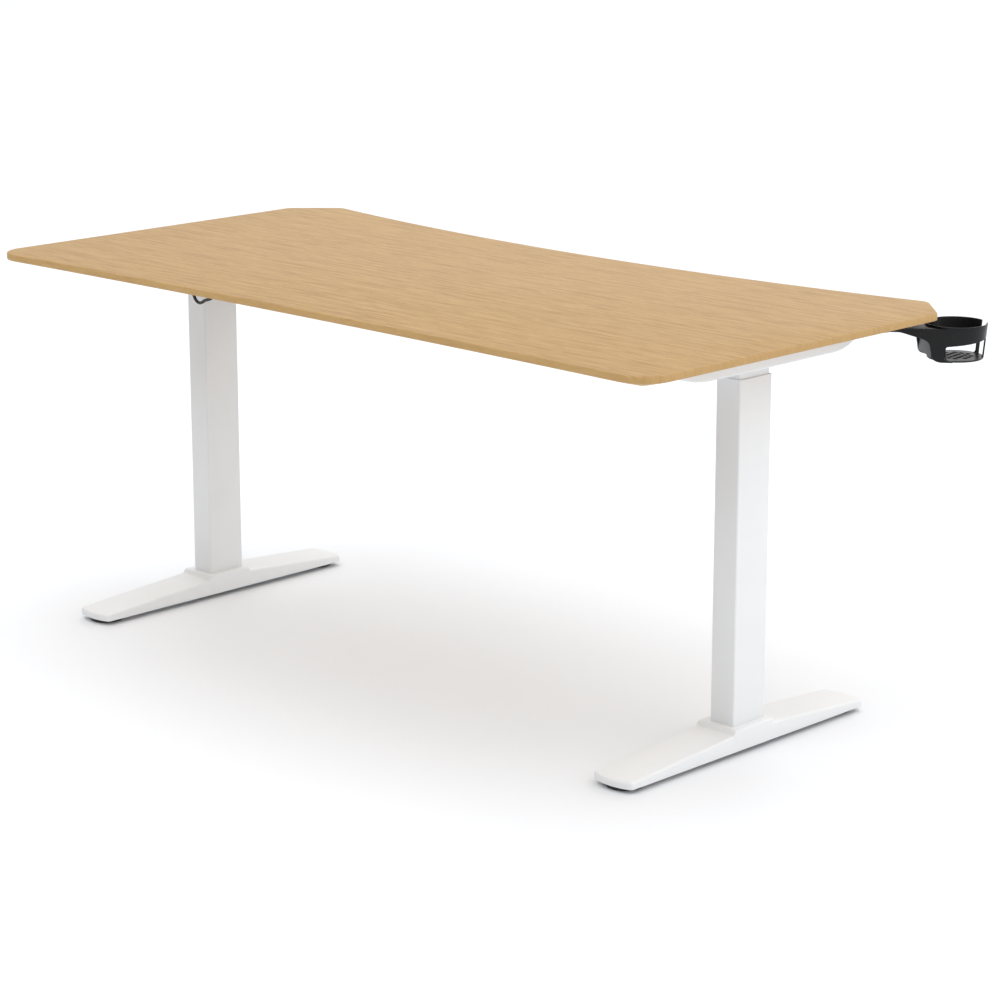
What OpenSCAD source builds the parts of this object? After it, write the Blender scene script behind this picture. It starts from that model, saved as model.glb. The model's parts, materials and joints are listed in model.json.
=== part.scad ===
// Height adjustable standing desk: wooden top, white steel frame, two motor driven columns.
// Millimetres, +Z up. The user sits at the front, towards -Y, so left is -X and right is +X.
// Lengths are first worked out about the point on the floor midway between the two columns,
// then moved so that the origin is at the centre of the whole desk's footprint.

/* [Desktop] */
// Length of the top, from side to side
desk_length = 1600; // [1500:10:1800]
// Depth of the top, from the rear corners to the front corners
desk_depth = 800; // [760:5:860]
// Height of the work surface with the columns fully lowered
desk_height = 700; // [690:1:720]
// Thickness of the top
top_thickness = 25; // [22:1:30]
// Height of the upright lip at the edge, above the underside bevel
lip_height = 11.5; // [6:0.5:14]
// How far the bevel under the edge runs in
bevel_run = 50; // [30:1:60]
// Depth of the concave curve of the front edge
front_bow = 66; // [40:1:80]
// Depth of the shallow concave curve of the rear edge
rear_bow = 15; // [0:1:20]
// Size of the cut front corners, along the front
corner_cut_x = 76; // [60:1:110]
// Size of the cut front corners, along the sides
corner_cut_y = 76; // [60:1:100]
// Radius of the rear corners
rear_corner_r = 55; // [30:1:70]
// Radius that softens both ends of each cut corner
cut_corner_r = 25; // [15:1:60]

/* [Columns] */
// Distance between the centre lines of the two columns
column_spacing = 1317; // [1250:1:1340]
// Width of the outer tube, along X
tube_w = 50; // [48:1:56]
// Depth of the outer tube, along Y
tube_d = 80; // [78:1:90]
// Wall of both tubes
tube_wall = 2; // [1.5:0.1:2.2]
// Gap between the faces of the two tubes
tube_gap = 1; // [0.8:0.1:1.2]
// Height of the top of the outer tube
tube_top = 626; // [615:1:630]
// How far the desk rises from its lowest position
lift_travel = 480; // [300:10:480]

/* [Feet] */
// Length of each foot, over its rounded ends
foot_length = 606; // [560:2:640]
// Width of each foot
foot_w = 83; // [78:1:90]
// How far the foot's middle is behind its column
foot_shift = 11; // [0:1:15]
// Height of the seat that the column stands on
foot_seat_z = 45; // [44:1:50]
// Height of the underside of the foot above the floor
foot_bottom_z = 8; // [8:1:12]
// Height of the foot at its ends
foot_end_h = 12; // [10:1:14]
// Radius of each levelling pad
pad_r = 30; // [20:1:34]
// How far each levelling pad can be screwed out
pad_travel = 6; // [3:1:7]

/* [Side arms] */
// Width of each side arm
arm_w = 60; // [58:1:70]
// Height of each side arm, under the top
arm_h = 38; // [38:1:45]
// Where the flat bottom of the arm ends, towards the front
arm_flat_front = -196; // [-220:1:-190]
// Where the flat bottom of the arm ends, towards the rear
arm_flat_rear = 114; // [110:1:130]
// Radius of the upswept front end
arm_front_r = 104; // [90:1:120]
// Radius of the upswept rear end
arm_rear_r = 221; // [180:1:230]

/* [Cup holder] */
// Centre of the cup ring from the desk's middle, along X
cup_x = -785; // [-800:1:-780]
// Centre of the cup ring from the desk's middle, along Y
cup_y = -396; // [-402:1:-392]
// Outer radius of the rim
cup_rim_r = 52.5; // [50:0.5:55]
// Outer radius of the base
cup_base_r = 47; // [44:0.5:50]
// Height of the cup holder
cup_h = 60; // [50:1:75]
// Distance from the cup's centre to its pivot
cup_reach = 125; // [120:1:128]
// Direction from the cup's centre to its pivot, anticlockwise from +X
cup_arm_angle = 55; // [52:1:58]

/* [Handset] */
// Where the handset is along the front edge
handset_x = 480; // [300:10:520]
// Length of the handset
handset_l = 120; // [118:1:140]
// Travel of each push button
button_travel = 1; // [0.5:0.1:1.2]

/* [Hidden] */
$fn = 48;

LEFT = -1;
RIGHT = 1;
FRONT = -1;
REAR = 1;
cut = 0.5;              // how far a cutter passes the face that it opens
steel_white = "WhiteSmoke";
bare_steel = "Silver";
black_plastic = "DimGray";

// Levels
underside = desk_height - top_thickness;
arm_bottom = underside - arm_h;
drive_z = underside - 20;

// Column sections
column_x = column_spacing / 2;
tube_corner_r = 3;
outer_bore_w = tube_w - 2 * tube_wall;
outer_bore_d = tube_d - 2 * tube_wall;
inner_w = outer_bore_w - 2 * tube_gap;
inner_d = outer_bore_d - 2 * tube_gap;
inner_corner_r = 2.5;
slide_gap = 0.15;       // flat clearance between a plastic guide and the steel it runs on
base_plate_t = 8;
inner_tube_bottom = foot_seat_z + base_plate_t + 3;
liner_h = 38;
guide_h = tube_top - 2 - (inner_tube_bottom + lift_travel + liner_h + 6);

// Drive: screw spindle, worm wheel and worm
spindle_r = 8;
journal_r = 6;
run_gap = 0.05;         // radial clearance of a shaft that turns in a bore
spindle_bottom = 75;
wheel_r = 18;
wheel_h = 12;
worm_r = 6;
worm_y = wheel_r + worm_r;
bearing_r = 13;
bearing_h = 7;
case_w = 54;
case_d = 66;
case_bottom = arm_bottom + 3;
case_top = underside - 3;
motor_r = 19;
motor_l = 150;
nut_tube_r = 15;
nut_h = 40;
nut_bottom = spindle_bottom + lift_travel + 6;

// Feet
foot_rear_y = foot_shift + foot_length / 2;
foot_front_y = foot_shift - foot_length / 2;
foot_end_bulge = 8;
foot_end_r = 112;
foot_wall = 3;
seat_front_y = -41;
seat_rear_y = 50;
seat_ramp = 7;
seat_step = 7.5;
foot_bolt_x = 14;
foot_bolt_y = 28;
foot_bolt_r = 4;
pad_inset = 36;
pad_front_y = foot_front_y + pad_inset;
pad_rear_y = foot_rear_y - pad_inset;
pad_h = foot_bottom_z - 0.3;
stud_r = 3.92;
stud_hole_r = 4;
stud_head_r = 5;
stud_head_h = 4;
stud_reach = pad_travel + 6;    // thread held in the foot while the pad is fully in

// Side arms and rails
arm_wall = 2.5;
arm_inner_x = column_x - arm_w / 2;
arm_front_y = arm_flat_front - sqrt(2 * arm_front_r * arm_h - arm_h * arm_h);
arm_rear_y = arm_flat_rear + sqrt(2 * arm_rear_r * arm_h - arm_h * arm_h);
arm_tab_front = -212;
arm_tab_rear = 150;
arm_tab_half = 14;
arm_screw_x = 15;
rail_h = 25;
rail_d = 40;
rail_wall = 1.5;
rail_plate_t = 5;
rail_front_y = -150;
rail_rear_y = 120;
rail_bolt_y = 12;
rail_bolt_r = 3;
screw_r = 2.2;
screw_head_r = 4.5;
screw_head_h = 3;
screw_depth = 16;

// Control box
box_x = 0;
box_y = -40;
box_l = 280;
box_d = 120;
box_h = 36;
box_wall = 2.5;
box_lid_t = 3;
box_ear = 12;
board_x = box_x - 20;
board_l = 180;
board_d = 90;
board_gap = 6;          // height of the pillars under the board
inlet_x = 90;
inlet_w = 27;
inlet_h = 20;
inlet_depth = 24;

// Handset
front_edge_r = (pow(desk_length / 2 - corner_cut_x, 2) + front_bow * front_bow) / (2 * front_bow);
front_edge_centre_y = -desk_depth / 2 + front_bow - front_edge_r;
function front_edge_y(x) = front_edge_centre_y + sqrt(front_edge_r * front_edge_r - x * x);
handset_setback = 9;
handset_front_y = front_edge_y(handset_x) + handset_setback;
handset_rear_y = -282;
handset_d = handset_rear_y - handset_front_y;
handset_screw_inset = 12;
handset_h = 20;
handset_wall = 2;
handset_ear = 14;        // from each end of the handset to its screw
face_t = 2;
button_w = 11;
button_h = 9;
button_r = 2.5;
button_proud = button_travel + 0.4;
button_pitch = 15;
button_first_x = -9;
button_gap = 0.3;
display_x = -38;
display_w = 30;
display_h = 11;

// Cup holder
cup_top = underside - 1;
cup_bottom = cup_top - cup_h;
cup_wall = 2.6;
cup_floor_t = 3;
cup_plate_t = 4;
cup_eye_top = underside - cup_plate_t - 0.3;
cup_eye_h = 6.4;
cup_eye_r = 14;
cup_cheek_t = 3;
cup_shoulder_r = 4;
cup_web_x = 53.5;       // face of the web that joins the cheeks
cup_web_lift = 8.5;     // from the cup's bottom to the web
cup_hole_w = 9.4;       // square holes in the floor
cup_slot_half = 14.5;   // half angle of the gap for a mug's handle
cup_post = 8.5;         // angle that each post beside the gap takes up
cup_solid_half = 51;    // half angle of the solid wall on the pivot's side
cup_mount_r = 26;
cup_screw_ring = 18;
cup_pivot = [cup_x + cup_reach * cos(cup_arm_angle), cup_y + cup_reach * sin(cup_arm_angle)];

// Cables: points along each route, and the cables' radii
motor_cable_r = 3;
handset_cable_r = 2.4;
left_cable_route = [
    [-472.5, 24, 655], [-462, 24, 655], [-448, 26, 659], [-432, 31, 665], [-412, 38, 670],
    [-390, 46, 671], [-365, 50, 671], [-330, 50, 671], [-295, 50, 671], [-255, 44, 671],
    [-222, 30, 670], [-198, 10, 666], [-178, -8, 660], [-158, -20, 656], [-140, -20, 656]
];
// The right cable is longer than its way to the box, and its slack hangs beside the column
right_cable_route = [
    [472.5, 24, 655], [464, 24, 655], [454, 26, 655], [446, 32, 655], [442, 42, 655],
    [444, 52, 655], [452, 61, 655], [464, 68, 656], [480, 74, 657], [500, 79, 658],
    [520, 82, 658], [545, 85, 657], [568, 87, 655], [586, 88, 650], [599, 88, 641],
    [606, 88, 630], [609, 88, 617], [607, 88, 604], [602, 88, 595], [594, 88, 590],
    [585, 88, 591], [576, 88, 596], [567, 88, 599], [558, 88, 602], [550, 88, 609],
    [544, 89, 620], [539, 90, 634], [532, 91, 648], [520, 92, 660], [504, 92, 668],
    [482, 92, 671], [450, 92, 671], [410, 92, 671], [370, 92, 671], [330, 86, 671],
    [290, 74, 671], [250, 58, 671], [216, 40, 669], [188, 18, 665], [168, -4, 660],
    [156, -16, 657], [148, -20, 656], [140, -20, 656]
];
handset_cable_route = [
    [480, -282, 665], [480, -270, 665], [476, -252, 668], [462, -234, 671], [438, -220, 672],
    [400, -210, 672], [365, -210, 672], [325, -210, 672], [285, -206, 672], [245, -198, 671],
    [212, -188, 664], [190, -176, 650], [178, -164, 645], [169, -150, 644], [163, -134, 644],
    [160, -118, 647], [158, -100, 653], [150, -80, 656], [140, -80, 656]
];
// Where each clip holds a cable up, and that cable's radius
clip_places = [
    [-347, 50, 671, motor_cable_r], [-312, 50, 671, motor_cable_r],
    [450, 92, 671, motor_cable_r], [390, 92, 671, motor_cable_r],
    [382, -210, 672, handset_cable_r], [345, -210, 672, handset_cable_r]
];

// ---------------------------------------------------------------- outlines

function unit(v) = v / norm(v);

// Normal to the left of a line, which is inwards on an anticlockwise outline
function left_normal(a, b) = let (d = unit(b - a)) [-d[1], d[0]];

// Vertex i of outline p after every side has moved in by d
function inset_vertex(p, i, d) =
    let (
        count = len(p),
        before = left_normal(p[(i + count - 1) % count], p[i]),
        after = left_normal(p[i], p[(i + 1) % count])
    )
    p[i] + d * (before + after) / (1 + before * after);

// Points of the arc of radius r that rounds the corner at b between a and c
function corner_arc(a, b, c, r, steps) =
    let (
        u = unit(a - b),
        v = unit(c - b),
        half = acos(u * v) / 2,
        centre = b + unit(u + v) * r / sin(half),
        start = b + u * r / tan(half) - centre,
        first = atan2(start[1], start[0])
    )
    [for (k = [0:steps]) centre + r * [
        cos(first + k * (180 - 2 * half) / steps),
        sin(first + k * (180 - 2 * half) / steps)
    ]];

half_l = desk_length / 2;
half_d = desk_depth / 2;
cut_x = half_l - corner_cut_x;
cut_y = -half_d + corner_cut_y;
rear_edge_r = (half_l * half_l + rear_bow * rear_bow) / (2 * rear_bow);
edge_steps = 16;
corner_steps = 8;
least_corner_r = 3;

// Sharp outline, anticlockwise from the right rear corner. The third value is the corner radius.
top_vertices = concat(
    [[half_l, half_d, rear_corner_r]],
    [for (k = [1:edge_steps - 1])
        let (x = half_l * (1 - 2 * k / edge_steps))
        [x, half_d - rear_bow + rear_edge_r - sqrt(rear_edge_r * rear_edge_r - x * x), 0]],
    [[-half_l, half_d, rear_corner_r], [-half_l, cut_y, cut_corner_r], [-cut_x, -half_d, cut_corner_r]],
    [for (k = [1:edge_steps - 1])
        let (x = -cut_x * (1 - 2 * k / edge_steps))
        [x, front_edge_y(x), 0]],
    [[cut_x, -half_d, cut_corner_r], [half_l, cut_y, cut_corner_r]]
);
top_sharp = [for (v = top_vertices) [v[0], v[1]]];

// Rounded outline of the top, moved in by d
function top_outline(d) =
    let (
        count = len(top_sharp),
        moved = [for (i = [0:count - 1]) inset_vertex(top_sharp, i, d)]
    )
    [for (i = [0:count - 1])
        each (top_vertices[i][2] == 0
            ? [moved[i]]
            : corner_arc(moved[(i + count - 1) % count], moved[i], moved[(i + 1) % count],
                max(top_vertices[i][2] - d, least_corner_r), corner_steps))];

// Closed solid between rings of points, lowest ring first
module solid_of_rings(rings) {
    count = len(rings[0]);
    last = len(rings) - 1;
    points = [for (ring = rings) each ring];
    sides = [for (k = [0:last - 1], i = [0:count - 1])
        let (j = (i + 1) % count)
        [k * count + i, (k + 1) * count + i, (k + 1) * count + j, k * count + j]];
    bottom = [for (i = [0:count - 1]) i];
    top = [for (i = [count - 1:-1:0]) last * count + i];
    polyhedron(points, concat([bottom], sides, [top]), convexity = 8);
}

function at_height(outline, z) = [for (p = outline) [p[0], p[1], z]];

// ---------------------------------------------------------------- placing

// The desk's footprint: the top and the cup ring that stands out past one corner
footprint_max_x = half_l;
footprint_min_x = min(-half_l, cup_x - cup_rim_r);
footprint_max_y = max([for (p = top_outline(0)) p[1]]);
footprint_min_y = min(-half_d, cup_y - cup_rim_r);

// Moves the design's origin to the centre of the footprint
module placed() {
    translate([-(footprint_max_x + footprint_min_x) / 2, -(footprint_max_y + footprint_min_y) / 2, 0])
        children();
}

// Column on the given side; the right one is the left one mirrored
module at_column(side) {
    placed()
        translate([side * column_x, 0, 0])
            mirror([side < 0 ? 1 : 0, 0, 0])
                children();
}

// ---------------------------------------------------------------- shared shapes

module rounded_rect(w, d, r) {
    square([w - 2 * r, d], center = true);
    square([w, d - 2 * r], center = true);
    for (x = [-1, 1], y = [-1, 1])
        translate([x * (w / 2 - r), y * (d / 2 - r)])
            circle(r);
}

module rounded_block(w, d, h, r) {
    linear_extrude(h)
        rounded_rect(w, d, r);
}

module rect_ring(w, d, r, wall, h) {
    linear_extrude(h)
        difference() {
            rounded_rect(w, d, r);
            rounded_rect(w - 2 * wall, d - 2 * wall, max(r - wall, 0.5));
        }
}

// Cylinder along +X from the origin
module x_cylinder(r, l) {
    rotate([0, 90, 0])
        cylinder(r = r, h = l);
}

// A plan shape in Y and Z, pushed out to width w about X = 0
module across_x(w) {
    translate([-w / 2, 0, 0])
        rotate([90, 0, 90])
            linear_extrude(w)
                children();
}

// Wood screw from below, with its head's top at the origin
module wood_screw() {
    cylinder(r = screw_r, h = screw_depth);
    translate([0, 0, -screw_head_h])
        cylinder(r = screw_head_r, h = screw_head_h);
}

// ---------------------------------------------------------------- desktop

// Every place where a screw enters the underside, with the thickness of what it holds
arm_screw_places = [for (side = [LEFT, RIGHT], x = [-1, 1], y = [arm_tab_front, arm_tab_rear])
    [side * column_x + x * arm_screw_x, y, arm_wall]];
box_screw_places = [for (x = [-1, 1], y = [-1, 1])
    [box_x + x * (box_l / 2 + box_ear / 2), box_y + y * (box_d / 2 - 18), box_lid_t]];
cup_screw_places = [for (a = [0:120:240])
    [cup_pivot[0] + cup_screw_ring * cos(cup_arm_angle + a),
        cup_pivot[1] + cup_screw_ring * sin(cup_arm_angle + a), cup_plate_t - screw_head_h]];
handset_screw_places = [for (x = [-1, 1])
    [handset_x + x * (handset_l / 2 - handset_ear), handset_rear_y - handset_screw_inset, handset_wall]];
screw_places = concat(arm_screw_places, box_screw_places, cup_screw_places, handset_screw_places);

module desktop() {
    color("BurlyWood")
        placed()
            difference() {
                solid_of_rings([
                    at_height(top_outline(bevel_run), underside),
                    at_height(top_outline(0), desk_height - lip_height),
                    at_height(top_outline(0), desk_height)
                ]);
                for (p = screw_places)
                    translate([p[0], p[1], underside - cut])
                        cylinder(r = screw_r, h = screw_depth - p[2] + cut);
            }
}

module desktop_screws() {
    color(bare_steel)
        placed()
            for (p = screw_places)
                translate([p[0], p[1], underside - p[2]])
                    wood_screw();
}

// ---------------------------------------------------------------- side arms and rails

// Side view of the arm, its skin moved in by d. The cavity runs out through the open top.
module arm_profile(d) {
    height = arm_h - d + cut * sign(d);
    translate([arm_flat_front, arm_bottom + d])
        square([arm_flat_rear - arm_flat_front, height]);
    intersection() {
        translate([arm_flat_rear, arm_bottom + d])
            square([arm_rear_y - arm_flat_rear, height]);
        translate([arm_flat_rear, arm_bottom + arm_rear_r])
            circle(arm_rear_r - d, $fn = 96);
    }
    intersection() {
        translate([arm_front_y, arm_bottom + d])
            square([arm_flat_front - arm_front_y, height]);
        translate([arm_flat_front, arm_bottom + arm_front_r])
            circle(arm_front_r - d, $fn = 96);
    }
}

module arm_tab(y) {
    translate([-arm_w / 2 + arm_wall, y - arm_tab_half, underside - arm_wall])
        cube([arm_w - 2 * arm_wall, 2 * arm_tab_half, arm_wall]);
}

module side_arm(side) {
    color(steel_white)
        at_column(side)
            difference() {
                union() {
                    difference() {
                        across_x(arm_w)
                            arm_profile(0);
                        across_x(arm_w - 2 * arm_wall)
                            arm_profile(arm_wall);
                    }
                    arm_tab(arm_tab_front);
                    arm_tab(arm_tab_rear);
                }
                translate([0, 0, arm_bottom - cut])
                    cylinder(r = spindle_r + 3, h = arm_wall + 2 * cut);
                translate([-arm_w / 2 - cut, worm_y, drive_z])
                    x_cylinder(worm_r + 2, arm_wall + 2 * cut);
                for (x = [-1, 1], y = [arm_tab_front, arm_tab_rear])
                    translate([x * arm_screw_x, y, underside - arm_wall - cut])
                        cylinder(r = screw_r, h = arm_wall + 2 * cut);
                for (y = [rail_front_y, rail_rear_y], b = [-1, 1])
                    translate([-arm_w / 2 - cut, y + b * rail_bolt_y, underside - rail_h / 2])
                        x_cylinder(rail_bolt_r, arm_wall + 2 * cut);
            }
}

module left_side_arm() {
    side_arm(LEFT);
}

module right_side_arm() {
    side_arm(RIGHT);
}

// Square tube between the arms, with a plate closing each end
module rail(y) {
    color(steel_white)
        placed()
            difference() {
                translate([-arm_inner_x, y - rail_d / 2, underside - rail_h])
                    cube([2 * arm_inner_x, rail_d, rail_h]);
                translate([-arm_inner_x + rail_plate_t, y - rail_d / 2 + rail_wall,
                        underside - rail_h + rail_wall])
                    cube([2 * (arm_inner_x - rail_plate_t), rail_d - 2 * rail_wall, rail_h - 2 * rail_wall]);
                for (side = [LEFT, RIGHT], b = [-1, 1])
                    translate([side * arm_inner_x - rail_plate_t - cut, y + b * rail_bolt_y,
                            underside - rail_h / 2])
                        x_cylinder(rail_bolt_r, 2 * rail_plate_t + 2 * cut);
            }
}

module front_rail() {
    rail(rail_front_y);
}

module rear_rail() {
    rail(rail_rear_y);
}

module rail_bolts() {
    head_h = 4;
    color(bare_steel)
        for (side = [LEFT, RIGHT])
            at_column(side)
                for (y = [rail_front_y, rail_rear_y], b = [-1, 1])
                    translate([-arm_w / 2, y + b * rail_bolt_y, underside - rail_h / 2]) {
                        translate([-14, 0, 0])
                            x_cylinder(rail_bolt_r, 14 + arm_wall);
                        translate([arm_wall, 0, 0])
                            x_cylinder(5, head_h);
                    }
}

// ---------------------------------------------------------------- columns

module inner_tube(side) {
    color(steel_white)
        at_column(side)
            translate([0, 0, inner_tube_bottom])
                rect_ring(inner_w, inner_d, inner_corner_r, tube_wall, arm_bottom - inner_tube_bottom);
}

module left_inner_tube() {
    inner_tube(LEFT);
}

module right_inner_tube() {
    inner_tube(RIGHT);
}

// Plastic band round the foot of the inner tube, running in the outer tube
module tube_liner(side) {
    color(black_plastic)
        at_column(side)
            translate([0, 0, inner_tube_bottom])
                rect_ring(outer_bore_w - 2 * slide_gap, outer_bore_d - 2 * slide_gap,
                    inner_corner_r, tube_gap - slide_gap, liner_h);
}

module left_tube_liner() {
    tube_liner(LEFT);
}

module right_tube_liner() {
    tube_liner(RIGHT);
}

// Outer tube with the welded plate that bolts down to the foot
module outer_tube(side) {
    color(steel_white)
        at_column(side)
            translate([0, 0, foot_seat_z])
                difference() {
                    rounded_block(tube_w, tube_d, tube_top - foot_seat_z, tube_corner_r);
                    translate([0, 0, base_plate_t])
                        rounded_block(outer_bore_w, outer_bore_d, tube_top - foot_seat_z, 1);
                    for (x = [-1, 1], y = [-1, 1])
                        translate([x * foot_bolt_x, y * foot_bolt_y, -cut])
                            cylinder(r = foot_bolt_r, h = base_plate_t + 2 * cut);
                }
}

module left_outer_tube() {
    outer_tube(LEFT);
}

module right_outer_tube() {
    outer_tube(RIGHT);
}

// Plastic sleeve in the mouth of the outer tube, guiding the inner tube
module guide_sleeve(side) {
    color(black_plastic)
        at_column(side)
            translate([0, 0, tube_top - 2 - guide_h])
                rect_ring(outer_bore_w, outer_bore_d, 1, tube_gap - slide_gap, guide_h);
}

module left_guide_sleeve() {
    guide_sleeve(LEFT);
}

module right_guide_sleeve() {
    guide_sleeve(RIGHT);
}

// Steel tube that stands on the base plate and holds the nut up
module nut_tube(side) {
    bottom = foot_seat_z + base_plate_t;
    color(bare_steel)
        at_column(side)
            translate([0, 0, bottom])
                difference() {
                    cylinder(r = nut_tube_r, h = nut_bottom - bottom);
                    translate([0, 0, 2])
                        cylinder(r = nut_tube_r - 3, h = nut_bottom - bottom);
                }
}

module left_nut_tube() {
    nut_tube(LEFT);
}

module right_nut_tube() {
    nut_tube(RIGHT);
}

module spindle_nut(side) {
    color("DarkKhaki")
        at_column(side)
            translate([0, 0, nut_bottom])
                difference() {
                    cylinder(r = nut_tube_r, h = nut_h);
                    translate([0, 0, -cut])
                        cylinder(r = spindle_r + run_gap, h = nut_h + 2 * cut);
                }
}

module left_spindle_nut() {
    spindle_nut(LEFT);
}

module right_spindle_nut() {
    spindle_nut(RIGHT);
}

// ---------------------------------------------------------------- drive

module spindle(side) {
    color(bare_steel)
        at_column(side) {
            translate([0, 0, spindle_bottom])
                cylinder(r = spindle_r, h = case_bottom - spindle_bottom);
            translate([0, 0, case_bottom])
                cylinder(r = journal_r, h = case_top - case_bottom - 1);
        }
}

module left_spindle() {
    spindle(LEFT);
}

module right_spindle() {
    spindle(RIGHT);
}

module worm_wheel(side) {
    color("DarkKhaki")
        at_column(side)
            translate([0, 0, drive_z - wheel_h / 2])
                difference() {
                    cylinder(r = wheel_r - run_gap, h = wheel_h);
                    translate([0, 0, -cut])
                        cylinder(r = journal_r, h = wheel_h + 2 * cut);
                }
}

module left_worm_wheel() {
    worm_wheel(LEFT);
}

module right_worm_wheel() {
    worm_wheel(RIGHT);
}

// Worm on the motor's shaft, crossing beside the wheel
module worm_shaft(side) {
    color(bare_steel)
        at_column(side)
            translate([0, worm_y, drive_z]) {
                translate([-case_w / 2 + 8, 0, 0])
                    x_cylinder(worm_r - run_gap, case_w - 16);
                translate([-arm_w / 2 - 40, 0, 0])
                    x_cylinder(3, 40 + (arm_w - case_w) / 2 + 8);
            }
}

module left_worm_shaft() {
    worm_shaft(LEFT);
}

module right_worm_shaft() {
    worm_shaft(RIGHT);
}

module gearbox_case(side) {
    side_gap = 0.6;
    color("Gainsboro")
        at_column(side)
            difference() {
                translate([-case_w / 2, -wheel_r - 6, case_bottom])
                    cube([case_w, case_d, case_top - case_bottom]);
                translate([0, 0, case_bottom - cut])
                    cylinder(r = bearing_r, h = case_top - case_bottom + 2 * cut);
                translate([0, 0, drive_z - wheel_h / 2 - side_gap])
                    cylinder(r = wheel_r + side_gap, h = wheel_h + 2 * side_gap);
                translate([-case_w / 2 + 7, worm_y, drive_z])
                    x_cylinder(worm_r + side_gap, case_w - 14);
                translate([-case_w / 2 - cut, worm_y, drive_z])
                    x_cylinder(3 + run_gap, 8 + cut);
            }
}

module left_gearbox_case() {
    gearbox_case(LEFT);
}

module right_gearbox_case() {
    gearbox_case(RIGHT);
}

module spindle_bearings() {
    color(bare_steel)
        for (side = [LEFT, RIGHT])
            at_column(side)
                for (z = [case_bottom + 0.5, case_top - 1.5 - bearing_h])
                    translate([0, 0, z])
                        difference() {
                            cylinder(r = bearing_r, h = bearing_h);
                            translate([0, 0, -cut])
                                cylinder(r = journal_r + run_gap, h = bearing_h + 2 * cut);
                        }
}

// Motor can with a flange against the arm, hollow where the worm's shaft goes in
module motor(side) {
    flange_t = 4;
    color("DarkSlateGray")
        at_column(side)
            translate([-arm_w / 2, worm_y, drive_z])
                difference() {
                    union() {
                        translate([-motor_l, 0, 0])
                            x_cylinder(motor_r, motor_l - flange_t);
                        translate([-flange_t, -motor_r - 4, -motor_r])
                            cube([flange_t, 2 * motor_r + 8, 2 * motor_r]);
                        translate([-motor_l - 6, 0, 0])
                            x_cylinder(8, 6);
                    }
                    translate([-41, 0, 0])
                        x_cylinder(3 + run_gap, 41 + cut);
                }
}

module left_motor() {
    motor(LEFT);
}

module right_motor() {
    motor(RIGHT);
}

// ---------------------------------------------------------------- feet

// Side view of the foot: low ends, sloping up to the seat. d is the thickness left above a cavity.
module foot_profile(d) {
    slope_top = foot_seat_z - seat_step - d;
    end_top = foot_bottom_z + foot_end_h - d;
    polygon([
        [foot_front_y, foot_bottom_z - cut * sign(d)],
        [foot_rear_y, foot_bottom_z - cut * sign(d)],
        [foot_rear_y, end_top],
        [seat_rear_y + seat_ramp, slope_top],
        [seat_rear_y, foot_seat_z - d],
        [seat_front_y, foot_seat_z - d],
        [seat_front_y - seat_ramp, slope_top],
        [foot_front_y, end_top]
    ]);
}

// Plan of the foot, its skin moved in by d
module foot_plan(d) {
    straight = foot_length - 2 * foot_end_bulge;
    translate([-foot_w / 2 + d, foot_shift - straight / 2 + d])
        square([foot_w - 2 * d, straight - 2 * d]);
    for (end = [FRONT, REAR])
        intersection() {
            translate([-foot_w / 2 + d, foot_shift + end * (foot_length / 2 - foot_end_bulge) - 20])
                square([foot_w - 2 * d, 40]);
            translate([0, foot_shift + end * (foot_length / 2 - foot_end_r)])
                circle(foot_end_r - d, $fn = 96);
        }
}

module foot_solid(d) {
    intersection() {
        across_x(foot_w - 2 * d)
            foot_profile(d);
        linear_extrude(foot_seat_z + 1)
            foot_plan(d);
    }
}

// Pressed shell, open below, with a seat plate for the column and a socket for each levelling stud
module foot(side) {
    seat_t = 5;
    color(steel_white)
        at_column(side)
            difference() {
                union() {
                    difference() {
                        foot_solid(0);
                        foot_solid(foot_wall);
                    }
                    translate([-foot_w / 2 + 1, seat_front_y, foot_seat_z - seat_t])
                        cube([foot_w - 2, seat_rear_y - seat_front_y, seat_t]);
                    for (y = [seat_front_y, seat_rear_y - foot_wall])
                        translate([-foot_w / 2 + 1, y, foot_bottom_z])
                            cube([foot_w - 2, foot_wall, foot_seat_z - seat_step - foot_bottom_z]);
                    intersection() {
                        for (y = [pad_front_y, pad_rear_y])
                            translate([0, y, foot_bottom_z])
                                cylinder(r = 9, h = foot_seat_z);
                        across_x(foot_w)
                            foot_profile(0);
                    }
                }
                for (x = [-1, 1], y = [-1, 1])
                    translate([x * foot_bolt_x, y * foot_bolt_y, foot_seat_z - seat_t - cut])
                        cylinder(r = foot_bolt_r + 0.5, h = seat_t + 2 * cut);
                for (y = [pad_front_y, pad_rear_y])
                    translate([0, y, foot_bottom_z - cut])
                        cylinder(r = stud_hole_r, h = stud_reach + 0.4 + cut);
            }
}

module left_foot() {
    foot(LEFT);
}

module right_foot() {
    foot(RIGHT);
}

// Four bolts up through each foot's seat into the column's base plate
module foot_bolts() {
    head_h = 6;
    seat_t = 5;
    color(bare_steel)
        for (side = [LEFT, RIGHT])
            at_column(side)
                for (x = [-1, 1], y = [-1, 1])
                    translate([x * foot_bolt_x, y * foot_bolt_y, foot_seat_z - seat_t - head_h]) {
                        cylinder(r = 6.5, h = head_h);
                        cylinder(r = foot_bolt_r, h = head_h + seat_t + base_plate_t - 1);
                    }
}

// Round plastic pad that the stud's head turns in
module levelling_pad(side, y) {
    edge = 1.5;
    color("DarkSlateGray")
        at_column(side)
            translate([0, y, 0])
                difference() {
                    union() {
                        cylinder(r = pad_r - edge, h = pad_h);
                        translate([0, 0, edge])
                            cylinder(r = pad_r, h = pad_h - 2 * edge);
                    }
                    translate([0, 0, pad_h - stud_head_h])
                        cylinder(r = stud_head_r + run_gap, h = stud_head_h + cut);
                }
}

module left_front_pad() {
    levelling_pad(LEFT, pad_front_y);
}

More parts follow.
